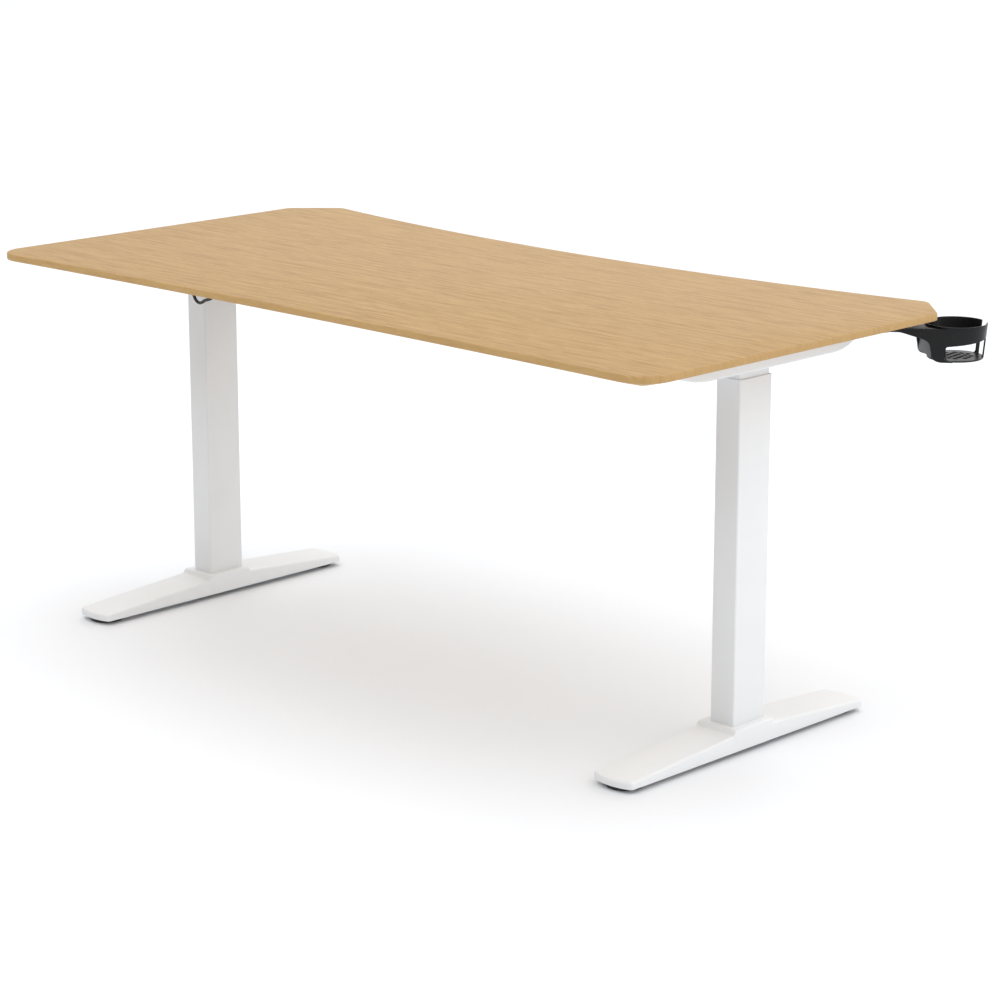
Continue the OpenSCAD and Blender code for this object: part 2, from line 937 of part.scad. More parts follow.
module left_rear_pad() {
    levelling_pad(LEFT, pad_rear_y);
}

module right_front_pad() {
    levelling_pad(RIGHT, pad_front_y);
}

module right_rear_pad() {
    levelling_pad(RIGHT, pad_rear_y);
}

// Threaded stud, screwed up into the foot
module levelling_stud(side, y) {
    color(bare_steel)
        at_column(side)
            translate([0, y, pad_h - stud_head_h + 0.1]) {
                cylinder(r = stud_head_r, h = stud_head_h - 0.2);
                cylinder(r = stud_r, h = foot_bottom_z + stud_reach - pad_h + stud_head_h - 0.1);
            }
}

module left_front_stud() {
    levelling_stud(LEFT, pad_front_y);
}

module left_rear_stud() {
    levelling_stud(LEFT, pad_rear_y);
}

module right_front_stud() {
    levelling_stud(RIGHT, pad_front_y);
}

module right_rear_stud() {
    levelling_stud(RIGHT, pad_rear_y);
}

// ---------------------------------------------------------------- control box

// Opening in the rear wall that the mains inlet is pushed into
module inlet_place() {
    translate([box_x + inlet_x, box_y + box_d / 2, underside - box_h / 2 - box_lid_t / 2])
        children();
}

module control_box_case() {
    depth = box_h - box_lid_t;
    color(black_plastic)
        placed()
            difference() {
                translate([box_x, box_y, underside - box_h])
                    rounded_block(box_l, box_d, depth, 6);
                translate([box_x, box_y, underside - box_h + box_wall])
                    rounded_block(box_l - 2 * box_wall, box_d - 2 * box_wall, depth, 4);
                inlet_place()
                    translate([-inlet_w / 2, -box_wall - cut, -inlet_h / 2])
                        cube([inlet_w, box_wall + 2 * cut, inlet_h]);
            }
    color(black_plastic)
        placed()
            for (x = [-1, 1], y = [-1, 1])
                translate([board_x + x * (board_l / 2 - 6), box_y + y * (board_d / 2 - 6),
                        underside - box_h + box_wall])
                    cylinder(r = 3, h = board_gap);
}

// Plate with ears that is screwed up against the underside
module control_box_lid() {
    color(black_plastic)
        placed()
            difference() {
                translate([box_x, box_y, underside - box_lid_t])
                    rounded_block(box_l + 2 * box_ear, box_d - 10, box_lid_t, 6);
                for (p = box_screw_places)
                    translate([p[0], p[1], underside - box_lid_t - cut])
                        cylinder(r = screw_r, h = box_lid_t + 2 * cut);
            }
}

module control_board() {
    color("DarkGreen")
        placed()
            translate([board_x, box_y, underside - box_h + box_wall + board_gap]) {
                translate([-board_l / 2, -board_d / 2, 0])
                    cube([board_l, board_d, 1.6]);
                translate([-60, -10, 1.6])
                    cylinder(r = 10, h = 16);
                translate([-20, -30, 1.6])
                    cube([36, 30, 15]);
                translate([40, -20, 1.6])
                    cube([24, 30, 12]);
            }
}

// Mains inlet socket with three pins
module mains_inlet() {
    color(black_plastic)
        placed()
            inlet_place() {
                difference() {
                    union() {
                        translate([-inlet_w / 2, -inlet_depth, -inlet_h / 2])
                            cube([inlet_w, inlet_depth, inlet_h]);
                        translate([-inlet_w / 2 - 2, 0, -inlet_h / 2 - 2])
                            cube([inlet_w + 4, 2, inlet_h + 4]);
                    }
                    translate([-inlet_w / 2 + 1.5, -inlet_depth + 4, -inlet_h / 2 + 1.5])
                        cube([inlet_w - 3, inlet_depth, inlet_h - 3]);
                }
                for (x = [-7, 0, 7])
                    translate([x - 1, -inlet_depth + 3, (x == 0 ? 1.5 : -4)])
                        cube([2, 15, 4]);
            }
}

// ---------------------------------------------------------------- handset

module at_handset() {
    placed()
        translate([handset_x, handset_front_y, underside - handset_h / 2])
            children();
}

// Shell that hangs under the front edge, open at the front for the face
module handset_case() {
    color(black_plastic)
        at_handset()
            difference() {
                translate([0, handset_d / 2 + face_t / 2, -handset_h / 2])
                    rounded_block(handset_l, handset_d - face_t, handset_h, 0.5);
                translate([-handset_l / 2 + handset_wall, 0, -handset_h / 2 + handset_wall])
                    cube([handset_l - 2 * handset_wall, handset_d - 24, handset_h - 2 * handset_wall]);
                for (x = [-1, 1])
                    translate([x * (handset_l / 2 - handset_ear), handset_d - handset_screw_inset,
                            -handset_h / 2 - cut]) {
                        cylinder(r = screw_r, h = handset_h + 2 * cut);
                        cylinder(r = screw_head_r + 0.2, h = handset_h - handset_wall + cut);
                    }
            }
}

function button_x(i) = button_first_x + i * button_pitch;

// A flat outline in X and Z, pushed out towards the rear
module along_y(l) {
    translate([0, l, 0])
        rotate([90, 0, 0])
            linear_extrude(l)
                children();
}

module handset_face() {
    color("Black")
        at_handset()
            difference() {
                along_y(face_t)
                    rounded_rect(handset_l, handset_h, 2);
                for (i = [0:4])
                    translate([button_x(i), -cut, 0])
                        along_y(face_t + 2 * cut)
                            rounded_rect(button_w + 2 * button_gap, button_h + 2 * button_gap,
                                button_r + button_gap);
                translate([display_x, -cut, 0])
                    along_y(0.4 + cut)
                        rounded_rect(display_w, display_h, 1);
            }
}

// Button cap, with a flange behind the face that keeps it in
module button(i) {
    flange = 0.8;
    color("Gray")
        at_handset()
            translate([button_x(i), 0, 0]) {
                translate([0, -button_proud, 0])
                    along_y(button_proud + face_t + 0.2)
                        rounded_rect(button_w, button_h, button_r);
                translate([0, face_t + 0.2, 0])
                    along_y(1.5)
                        rounded_rect(button_w + 2 * flange, button_h + 2 * flange, button_r);
            }
}

module up_button() {
    button(0);
}

module down_button() {
    button(1);
}

module memory_button_1() {
    button(2);
}

module memory_button_2() {
    button(3);
}

module memory_button_3() {
    button(4);
}

// ---------------------------------------------------------------- cables

cable_sides = 8;

// Direction of a route at point i
function along(route, i) =
    unit(route[min(i + 1, len(route) - 1)] - route[max(i - 1, 0)]);

// Ring of points about point i of a route, square to it
function cable_ring(route, i, r) =
    let (
        d = along(route, i),
        sideways = unit(cross(d, [0.1, 0.2, 1])),
        upwards = cross(sideways, d)
    )
    [for (k = [0:cable_sides - 1])
        let (a = 360 * k / cable_sides)
        route[i] + r * (cos(a) * sideways - sin(a) * upwards)];

module cable(route, r) {
    color("Black")
        placed()
            solid_of_rings([for (i = [0:len(route) - 1]) cable_ring(route, i, r)]);
}

module left_motor_cable() {
    cable(left_cable_route, motor_cable_r);
}

module right_motor_cable() {
    cable(right_cable_route, motor_cable_r);
}

module handset_cable() {
    cable(handset_cable_route, handset_cable_r);
}

// Saddles stuck to the underside, each over a straight stretch of cable
module cable_clips() {
    length = 10;
    width = 14;
    skin = 1.5;
    play = 0.4;
    color("Black")
        placed()
            for (p = clip_places)
                translate([p[0] - length / 2, p[1], p[2]])
                    difference() {
                        translate([0, -width / 2, -p[3] - skin])
                            cube([length, width, underside - p[2] + p[3] + skin]);
                        translate([-cut, 0, 0])
                            x_cylinder(p[3] + play, length + 2 * cut);
                    }
}

// ---------------------------------------------------------------- cup holder

module at_cup() {
    placed()
        translate([cup_x, cup_y, 0])
            rotate([0, 0, cup_arm_angle])
                children();
}

module cup_mount_plate() {
    color("DarkSlateGray")
        placed()
            difference() {
                translate([cup_pivot[0], cup_pivot[1], underside - cup_plate_t])
                    cylinder(r = cup_mount_r, h = cup_plate_t);
                translate([cup_pivot[0], cup_pivot[1], underside - cup_plate_t - cut])
                    cylinder(r = 3, h = cup_plate_t + 2 * cut);
                for (p = cup_screw_places)
                    translate([p[0], p[1], underside - cup_plate_t - cut]) {
                        cylinder(r = screw_r, h = cup_plate_t + 2 * cut);
                        cylinder(r = screw_head_r + 0.2, h = screw_head_h + cut);
                    }
            }
}

module cup_pivot_screw() {
    eye_bottom = cup_eye_top - cup_eye_h;
    color(bare_steel)
        at_cup()
            translate([cup_reach, 0, 0]) {
                translate([0, 0, eye_bottom - 3.3])
                    cylinder(r = 8, h = 3);
                translate([0, 0, eye_bottom - 0.3])
                    cylinder(r = cup_shoulder_r, h = cup_eye_h + 0.6);
                translate([0, 0, cup_eye_top + 0.3])
                    cylinder(r = 3, h = cup_plate_t);
            }
}

// Teardrop round the cup and the pivot, moved in by d
module cup_plan(d) {
    slope = asin((cup_rim_r - 2.5 - cup_eye_r) / cup_reach);
    near = cup_rim_r - 2.5 - d;
    far = cup_eye_r - d;
    circle(near);
    translate([cup_reach, 0])
        circle(far);
    polygon([
        [near * sin(slope), near * cos(slope)],
        [near * sin(slope), -near * cos(slope)],
        [cup_reach + far * sin(slope), -far * cos(slope)],
        [cup_reach + far * sin(slope), far * cos(slope)]
    ]);
}

// Side view of the arm and the solid wall beside it, deep at the cup and thin at the pivot
module cup_arm_profile() {
    polygon([
        [cup_reach + cup_eye_r + 1, cup_eye_top],
        [cup_reach + cup_eye_r + 1, cup_eye_top - cup_eye_h],
        [cup_reach - 18, cup_eye_top - cup_eye_h],
        [67, cup_eye_top - 18],
        [58, cup_eye_top - 24.5],
        [56, cup_eye_top - 33],
        [cup_web_x, cup_bottom + cup_web_lift],
        [47, cup_bottom + 2.5],
        [38, cup_bottom],
        [20, cup_bottom],
        [20, cup_eye_top]
    ]);
}

// Flat sector from angle a to angle b, out past the wall
module sector(a, b) {
    reach = 2 * cup_rim_r;
    polygon(concat([[0, 0]], [for (k = [0:6]) reach * [cos(a + (b - a) * k / 6), sin(a + (b - a) * k / 6)]]));
}

module cup_window(a, b) {
    intersection() {
        translate([0, 0, cup_bottom + cup_floor_t])
            linear_extrude(cup_h)
                sector(a, b);
        across_y(4 * cup_rim_r)
            polygon([
                [-2 * cup_rim_r, cup_bottom],
                [2 * cup_rim_r, cup_bottom],
                [2 * cup_rim_r, cup_top - 42],
                [-2 * cup_rim_r, cup_top - 18]
            ]);
    }
}

// A flat outline in X and Z, pushed out to width w about Y = 0
module across_y(w) {
    translate([0, w / 2, 0])
        rotate([90, 0, 0])
            linear_extrude(w)
                children();
}

module cup_holder() {
    window_end = 180 - cup_slot_half - cup_post;
    slat = 12;
    color("Black")
        at_cup()
            difference() {
                union() {
                    rotate_extrude($fn = 72)
                        polygon([
                            [0, cup_bottom], [cup_base_r, cup_bottom],
                            [cup_rim_r, cup_top], [0, cup_top]
                        ]);
                    intersection() {
                        translate([0, 0, cup_bottom])
                            linear_extrude(cup_eye_top - cup_bottom)
                                difference() {
                                    cup_plan(0);
                                    cup_plan(cup_cheek_t);
                                }
                        across_y(4 * cup_rim_r)
                            cup_arm_profile();
                    }
                    intersection() {
                        translate([0, 0, cup_eye_top - cup_eye_h])
                            linear_extrude(cup_eye_h)
                                cup_plan(0);
                        across_y(4 * cup_rim_r)
                            cup_arm_profile();
                    }
                    translate([0, 0, cup_bottom + cup_web_lift])
                        linear_extrude(cup_eye_top - 1 - cup_bottom - cup_web_lift)
                            intersection() {
                                cup_plan(1);
                                translate([cup_web_x - cup_cheek_t, -cup_rim_r])
                                    square([cup_cheek_t, 2 * cup_rim_r]);
                            }
                }
                rotate_extrude($fn = 72)
                    polygon([
                        [0, cup_bottom + cup_floor_t], [cup_base_r - cup_wall, cup_bottom + cup_floor_t],
                        [cup_rim_r - cup_wall, cup_top + 0.01], [0, cup_top + 0.01]
                    ]);
                cup_window(cup_solid_half, window_end);
                cup_window(-window_end, -cup_solid_half);
                translate([0, 0, cup_bottom + cup_floor_t])
                    linear_extrude(cup_h)
                        sector(180 - cup_slot_half, 180 + cup_slot_half);
                for (x = [-2:2], y = [-2:2])
                    if (norm([x, y]) * slat < 36)
                        rotate([0, 0, 45])
                            translate([x * slat, y * slat, cup_bottom])
                                cube([cup_hole_w, cup_hole_w, 4 * cup_floor_t], center = true);
                translate([cup_reach, 0, cup_eye_top - cup_eye_h - cut])
                    cylinder(r = cup_shoulder_r + run_gap, h = cup_eye_h + 2 * cut);
            }
}

desktop();
desktop_screws();
left_side_arm();
right_side_arm();
front_rail();
rear_rail();
rail_bolts();
left_inner_tube();
right_inner_tube();
left_tube_liner();
right_tube_liner();
left_gearbox_case();
right_gearbox_case();
left_motor();
right_motor();
spindle_bearings();
left_worm_shaft();
right_worm_shaft();
left_spindle();
right_spindle();
left_worm_wheel();
right_worm_wheel();
left_outer_tube();
right_outer_tube();
left_guide_sleeve();
right_guide_sleeve();
left_nut_tube();
right_nut_tube();
left_spindle_nut();
right_spindle_nut();
left_foot();
right_foot();
foot_bolts();
left_front_pad();
left_rear_pad();
right_front_pad();
right_rear_pad();
left_front_stud();
left_rear_stud();
right_front_stud();
right_rear_stud();
control_box_case();
control_box_lid();
control_board();
mains_inlet();
handset_case();
handset_face();
up_button();
down_button();
memory_button_1();
memory_button_2();
memory_button_3();
left_motor_cable();
right_motor_cable();
handset_cable();
cable_clips();
cup_mount_plate();
cup_pivot_screw();
cup_holder();
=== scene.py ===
import json
import math

import bmesh
import bpy
from mathutils import Matrix, Vector

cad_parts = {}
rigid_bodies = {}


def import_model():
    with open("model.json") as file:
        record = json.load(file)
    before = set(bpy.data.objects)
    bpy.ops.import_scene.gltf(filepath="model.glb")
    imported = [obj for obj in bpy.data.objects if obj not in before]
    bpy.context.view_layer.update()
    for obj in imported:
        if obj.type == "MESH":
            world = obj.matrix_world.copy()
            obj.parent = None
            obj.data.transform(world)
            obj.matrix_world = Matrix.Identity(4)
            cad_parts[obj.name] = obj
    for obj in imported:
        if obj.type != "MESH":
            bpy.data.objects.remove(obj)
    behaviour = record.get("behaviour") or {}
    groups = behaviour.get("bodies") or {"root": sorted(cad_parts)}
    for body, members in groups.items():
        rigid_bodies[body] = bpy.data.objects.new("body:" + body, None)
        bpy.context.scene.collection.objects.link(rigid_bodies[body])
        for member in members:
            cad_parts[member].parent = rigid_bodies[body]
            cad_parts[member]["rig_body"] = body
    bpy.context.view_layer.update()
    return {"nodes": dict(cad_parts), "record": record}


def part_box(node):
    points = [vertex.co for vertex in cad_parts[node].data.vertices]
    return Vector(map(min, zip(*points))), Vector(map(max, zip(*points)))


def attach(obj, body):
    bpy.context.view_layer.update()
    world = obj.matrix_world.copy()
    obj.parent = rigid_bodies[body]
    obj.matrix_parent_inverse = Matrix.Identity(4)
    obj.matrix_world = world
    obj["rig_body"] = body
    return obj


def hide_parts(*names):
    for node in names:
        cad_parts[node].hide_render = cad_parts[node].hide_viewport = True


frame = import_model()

# Looks of the height adjustable standing desk. Shapes are worked out in millimetres about the
# floor point midway between the two columns, with the user at -Y, and then put into the frame.

MM = 0.001
SIDES = {"left": -1, "right": 1}
SLOT_OF = {part["node"]: part["material_slot"] for part in frame["record"]["subparts"]}


def centre_of(node):
    low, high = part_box(node)
    return (low + high) / 2


columns = [centre_of(f"{side}_outer_tube") for side in SIDES]
ORIGIN = Vector(((columns[0].x + columns[1].x) / 2, columns[0].y, 0))


def span(node):
    """Lowest and highest corner of a CAD node, in millimetres about the design's origin."""
    low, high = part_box(node)
    return (low - ORIGIN) / MM, (high - ORIGIN) / MM


def middle(node):
    low, high = span(node)
    return (low + high) / 2


def size_of(node):
    low, high = span(node)
    return high - low


def add_object(name, data):
    made = bpy.data.objects.new(name, data)
    bpy.context.scene.collection.objects.link(made)
    return made


def aim(thing, place, way):
    """Puts a camera or light at a place, looking along a way with its top up."""
    thing.location = place
    thing.rotation_mode = "QUATERNION"
    thing.rotation_quaternion = Vector(way).to_track_quat("-Z", "Y")


def column_x():
    return middle("right_outer_tube").x


# ---------------------------------------------------------------- camera

CAMERA_PLACE = (-3.65065, 3.66717, 1.63340)
CAMERA_LOOK = (0.6768, -0.6924, -0.2499)
CAMERA_LENS = 107.83


def add_camera():
    data = bpy.data.cameras.new("photo_camera")
    data.lens = CAMERA_LENS
    data.sensor_width = 36
    data.clip_end = 100
    camera = add_object("photo_camera", data)
    aim(camera, CAMERA_PLACE, CAMERA_LOOK)
    bpy.context.scene.camera = camera


# ---------------------------------------------------------------- shapes


class Shape:
    """Closed skins in millimetres, gathered before they become one piece."""

    def __init__(self, skin=None, place=Matrix()):
        self.points, self.faces = [], []
        if skin:
            self.add(skin, place)

    def add(self, skin, place=Matrix()):
        points, faces = (skin.points, skin.faces) if isinstance(skin, Shape) else skin
        first = len(self.points)
        self.points += [place @ Vector(p) for p in points]
        self.faces += [[first + i for i in face] for face in faces]
        return self


def at(x=0, y=0, z=0):
    return Matrix.Translation((x, y, z))


def turn(axis, degrees):
    return Matrix.Rotation(math.radians(degrees), 4, axis)


MIRROR_X = Matrix.Scale(-1, 4, (1, 0, 0))


def at_column(side):
    """Place about a column's foot; the left column is the right one mirrored."""
    return at(column_x()) if side == "right" else MIRROR_X @ at(column_x())


def strips(first, n):
    """Faces across a ring of n points that is its own mirror image, point i facing point n - i."""
    faces = [(first, first + 1, first + n - 1)]
    half = n // 2
    faces += [(first + i, first + i + 1, first + n - i - 1, first + n - i)
              for i in range(1, half - 1)]
    return faces + [(first + half - 1, first + half, first + half + 1)]


def loft(rings, closed=False, mirrored=False):
    """Quads between rings of equally many points. The end rings are capped, with strips where they
    are mirrored, or joined to each other where it is closed."""
    n, count = len(rings[0]), len(rings)
    last = (count - 1) * n
    faces = []
    for k in range(count if closed else count - 1):
        a, b = k * n, (k + 1) % count * n
        faces += [(a + i, a + (i + 1) % n, b + (i + 1) % n, b + i) for i in range(n)]
    if mirrored:
        faces += strips(0, n) + strips(last, n)
    elif not closed:
        faces += [tuple(range(n))[::-1], tuple(range(last, last + n))]
    return [p for ring in rings for p in ring], faces


def spoke(r, angle):
    return r * math.cos(angle), r * math.sin(angle)


def circle(r, steps):
    return [spoke(r, 2 * math.pi * k / steps) for k in range(steps)]


def rounded_rect(w, d, r, steps=6):
    """Outline about the origin, anticlockwise, with its corners rounded to r."""
    out = []
    for k, (sx, sy) in enumerate([(1, 1), (-1, 1), (-1, -1), (1, -1)]):
        for i in range(steps + 1):
            x, y = spoke(r, math.radians(90 * k + 90 * i / steps))
            out.append((sx * (w / 2 - r) + x, sy * (d / 2 - r) + y))
    return out


def quarter(r, steps=3):
    """(inset, height) along a rounded edge, from the flat under it to the wall beside it."""
    angles = [math.pi / 2 * k / steps for k in range(steps + 1)]
    return [(r * (1 - math.sin(a)), r * (1 - math.cos(a))) for a in angles]


def level(outline, z):
    return [(x, y, z) for x, y in outline]


def rounded_levels(h, low_r, high_r, steps=3):
    """(inset, height) up a wall of height h whose bottom and top edges are rounded."""
    top = [(i, h - z) for i, z in reversed(quarter(high_r, steps))]
    return quarter(low_r, steps) + top


def block(w, d, h, r, edge, steps=6):
    """Box standing on its place, its upright edges rounded to r and the others to edge."""
    return loft([
        level(rounded_rect(w - 2 * i, d - 2 * i, max(r - i, 0.05), steps), z)
        for i, z in rounded_levels(h, edge, edge)
    ])


def frame_tube(w, d, r, wall, low, high, lip):
    """Rectangular tube standing upright, with a softened lip at both ends."""
    outer = [(i, low + z) for i, z in rounded_levels(high - low, lip, lip, 2)]
    inner = [(wall, high), (wall, low)]
    return loft([level(rounded_rect(w - 2 * i, d - 2 * i, max(r - i, 0.5)), z)
                 for i, z in outer + inner], closed=True)


def lathe(profile, steps=32, closed=False):
    """Turned shape about Z from (radius, height) pairs."""
    return loft([level(circle(r, steps), z) for r, z in profile], closed)


def socket_screw(shank_r, length, head_r, head_h, key=None):
    """Screw pointing up from the origin plane, its head below with a hexagonal socket."""
    key = key or head_r * 0.52
    steps = 24
    edge = head_h * 0.22

    def hexagon(z):
        ring = []
        for k in range(steps):
            a = 2 * math.pi * k / steps
            r = key / math.cos((a + math.pi / 6) % (math.pi / 3) - math.pi / 6)
            ring.append((*spoke(r, a), z))
        return ring

    rings = [level(circle(shank_r * 0.55, steps), length)]
    rings += [level(circle(r, steps), z) for r, z in [
        (shank_r, length - shank_r), (shank_r, 0), (head_r - edge / 2, 0), (head_r, -edge / 2),
        (head_r, -head_h + edge), (head_r - edge * 0.3, -head_h + edge * 0.3),
        (head_r - edge, -head_h), (key * 1.25, -head_h),
    ]]
    rings += [hexagon(-head_h), hexagon(-head_h * 0.45)]
    return loft(rings)


def threaded_rod(r, root, pitch, low, high, starts=1, steps=20, per_turn=5):
    """Rod about Z with a helical thread, its ends run out to the root."""
    count = int((high - low) / pitch * per_turn)
    rings = []
    for k in range(count + 1):
        z = low + (high - low) * k / count
        ease = min(1, 3 * min(z - low, high - z) / pitch)
        ring = []
        for i in range(steps):
            phase = (z / pitch - starts * i / steps) % 1
            ridge = min(1, max(0, 1.5 - abs(4 * phase - 2)))
            radius = root + (r - root) * ridge * ease
            ring.append((*spoke(radius, 2 * math.pi * i / steps), z))
        rings.append(ring)
    return loft(rings)


def smooth_route(points, step):
    """Points along the curve that passes through the given ones, about one step apart."""
    p = [Vector(q) for q in points]
    p = [2 * p[0] - p[1]] + p + [2 * p[-1] - p[-2]]
    out = []
    for a, b, c, d in zip(p, p[1:], p[2:], p[3:]):
        count = max(1, round((c - b).length / step))
        for k in range(count):
            t = k / count
            out.append(
                (2 * b + (c - a) * t + (2 * a - 5 * b + 4 * c - d) * t * t
                 + (3 * b - a - 3 * c + d) * t ** 3) / 2
            )
    return out + [p[-2]]


def cable_skin(route, r, sides=12):
    """Round cable along a route, its rings carried along without twist."""
    ways = [
        (route[min(i + 1, len(route) - 1)] - route[max(i - 1, 0)]).normalized()
        for i in range(len(route))
    ]
    side = ways[0].orthogonal().normalized()
    rings = []
    for point, way in zip(route, ways):
        side = (side - way * side.dot(way)).normalized()
        up = way.cross(side)
        rings.append([point + r * (c * side + s * up) for c, s in circle(1, sides)])
    return loft(rings)


def skin_mesh(name, points, faces, merge=0):
    """Mesh of closed skins facing outwards, with points nearer than merge joined."""
    mesh = bpy.data.meshes.new(name)
    mesh.from_pydata(points, [], faces)
    work = bmesh.new()
    work.from_mesh(mesh)
    if merge:
        bmesh.ops.remove_doubles(work, verts=work.verts, dist=merge)
    bmesh.ops.recalc_face_normals(work, faces=work.faces)
    work.to_mesh(mesh)
    work.free()
    return mesh


def carve(shape, cutter):
    """The shape with the cutter's skins taken out of it."""
    body, tool = [add_object(name, skin_mesh(name, skins.points, skins.faces))
                  for name, skins in (("body", shape), ("tool", cutter))]
    modifier = body.modifiers.new("cut", "BOOLEAN")
    modifier.operation, modifier.solver, modifier.object = "DIFFERENCE", "EXACT", tool
    depsgraph = bpy.context.evaluated_depsgraph_get()
    mesh = body.evaluated_get(depsgraph).to_mesh()
    carved = Shape(([v.co.copy() for v in mesh.vertices],
                    [tuple(f.vertices) for f in mesh.polygons]))
    for obj in (body, tool):
        bpy.data.objects.remove(obj)
    return carved


def piece(node, shape, smooth=35):
    """The visible piece that stands for a CAD node, on its body and in its slot's finish."""
    points = [ORIGIN + Vector(p) * MM for p in shape.points]
    mesh = skin_mesh(node + "_look", points, shape.faces, merge=1e-6)
    mesh.materials.append(FINISHES[SLOT_OF[node]])
    mesh.shade_smooth()
    mesh.set_sharp_from_angle(angle=math.radians(smooth))
    obj = add_object(node + "_look", mesh)
    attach(obj, frame["nodes"][node]["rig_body"])
    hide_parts(node)


def soften(obj, width, segments=2):
    """Rounds an object's sharp edges."""
    bevel = obj.modifiers.new("soft_edges", "BEVEL")
    bevel.width = width * MM
    bevel.segments = segments
    bevel.limit_method = "ANGLE"
    bevel.angle_limit = math.radians(40)
    bevel.harden_normals = True


# ---------------------------------------------------------------- materials


class Finish:
    """A material under construction: a node tree round one Principled shader."""

    def __init__(self, name, colour, roughness, metallic=0.0):
        self.material = bpy.data.materials.get(name) or bpy.data.materials.new(name)
        self.material.use_nodes = True
        self.tree = self.material.node_tree
        self.tree.nodes.clear()
        self.shader = self.node("BsdfPrincipled")
        output = self.node("OutputMaterial")
        self.tree.links.new(self.shader.outputs["BSDF"], output.inputs["Surface"])
        self.steady("Base Color", (*colour, 1))
        self.steady("Roughness", roughness)
        self.steady("Metallic", metallic)
        self.colour, self.height = (*colour, 1), None
        self.place = self.node("TexCoord").outputs["Object"]

    def node(self, kind, **values):
        """A new shader node; values set its properties, or its inputs by name."""
        made = self.tree.nodes.new("ShaderNode" + kind)
        for key, value in values.items():
            if hasattr(made, key):
                setattr(made, key, value)
            else:
                self.feed(made.inputs[key.replace("_", " ")], value)
        return made

    def steady(self, socket, value):
        """Sets one of the shader's own values, the same all over the surface."""
        self.shader.inputs[socket].default_value = value

    def feed(self, socket, value):
        if isinstance(value, bpy.types.NodeSocket):
            self.tree.links.new(value, socket)
        else:
            socket.default_value = value

    def noise(self, scale, detail=4.0, roughness=0.55, distortion=0.0):
        """Noise whose grains are 1 / scale metres long along X, Y and Z."""
        grain = self.node("Mapping")
        self.feed(grain.inputs["Vector"], self.place)
        grain.inputs["Scale"].default_value = scale
        field = self.node("TexNoise", Detail=detail, Roughness=roughness, Distortion=distortion)
        field.inputs["Scale"].default_value = 1
        self.feed(field.inputs["Vector"], grain.outputs["Vector"])
        return field.outputs["Fac"]

    def ramp(self, value, *stops):
        """Grey curve through (position, level) pairs."""
        made = self.node("ValToRGB")
        elements = made.color_ramp.elements
        while len(elements) < len(stops):
            elements.new(0.5)
        for element, (position, shade) in zip(elements, stops):
            element.position = position
            element.color = (shade, shade, shade, 1)
        self.feed(made.inputs["Fac"], value)
        return made.outputs["Color"]

    def tint(self, value, colour):
        """Mixes a colour in wherever value is high."""
        mix = self.node("Mix", data_type="RGBA")
        self.feed(mix.inputs["Factor"], value)
        first, second = [socket for socket in mix.inputs if socket.type == "RGBA"]
        self.feed(first, self.colour)
        self.feed(second, (*colour, 1))
        self.colour = next(socket for socket in mix.outputs if socket.type == "RGBA")
        self.feed(self.shader.inputs["Base Color"], self.colour)
        return self

    def below(self, height, amount, soft=0.0004):
        """An amount under a height in metres and 0 above it."""
        split = self.node("SeparateXYZ")
        self.feed(split.inputs["Vector"], self.place)
        step = self.node(
            "MapRange", From_Min=height - soft, From_Max=height, To_Min=amount, To_Max=0.0)
        self.feed(step.inputs["Value"], split.outputs["Z"])
        return step.outputs["Result"]

    def rough(self, value, low, high):
        scale = self.node("MapRange", To_Min=low, To_Max=high)
        self.feed(scale.inputs["Value"], value)
        self.feed(self.shader.inputs["Roughness"], scale.outputs["Result"])
        return self

    def bump(self, value, distance, strength):
        """Raises the surface by up to a distance in millimetres; bumps add up."""
        made = self.node("Bump", Strength=strength, Distance=distance * MM)
        self.feed(made.inputs["Height"], value)
        if self.height is not None:
            self.feed(made.inputs["Normal"], self.height)
        self.height = made.outputs["Normal"]
        self.feed(self.shader.inputs["Normal"], self.height)
        return self


def even(scale):
    return (scale, scale, scale)


TOP_FACE_LOW = 0.6996  # metres; the top's rounded arris begins here


def oak():
    """Light oak veneer with a satin lacquer, its grain along X, and its edge band under the top
    painted paler as painted light for the shade the side faces get.
    """
    f = Finish("oak_veneer", (0.424, 0.262, 0.098), 0.5)
    bands = f.noise((0.7, 7, 5), 3, 0.5, 0.3)
    streaks = f.noise((5, 105, 30), 4, 0.66, 0.12)
    flecks = f.noise((18, 230, 90), 3, 0.65)
    fibres = f.noise((60, 700, 260), 3, 0.7)
    pores = f.noise((80, 950, 400), 2, 0.5)
    f.tint(f.ramp(bands, (0.35, 0), (0.7, 0.3)), (0.394, 0.234, 0.088))
    f.tint(f.ramp(streaks, (0.50, 0), (0.62, 0.75)), (0.322, 0.180, 0.062))
    f.tint(f.ramp(streaks, (0.34, 0.5), (0.46, 0)), (0.500, 0.322, 0.142))
    f.tint(f.ramp(flecks, (0.53, 0), (0.64, 0.6)), (0.308, 0.172, 0.060))
    f.tint(f.ramp(flecks, (0.33, 0.5), (0.45, 0)), (0.520, 0.342, 0.156))
    f.tint(f.ramp(fibres, (0.53, 0), (0.75, 0.5)), (0.320, 0.184, 0.070))
    f.tint(f.ramp(pores, (0.62, 0), (0.70, 0.5)), (0.235, 0.128, 0.048))
    # Painted light: everything below the top face is lightened so the shaded lip and bevel look as
    # bright as the lit top
    f.tint(f.below(TOP_FACE_LOW, 0.55), (0.560, 0.350, 0.140))
    f.rough(fibres, 0.46, 0.6)
    f.bump(fibres, 0.06, 0.5).bump(f.ramp(pores, (0.60, 1), (0.70, 0)), 0.08, 0.6)
    f.steady("Specular IOR Level", 0.3)
    return f.material


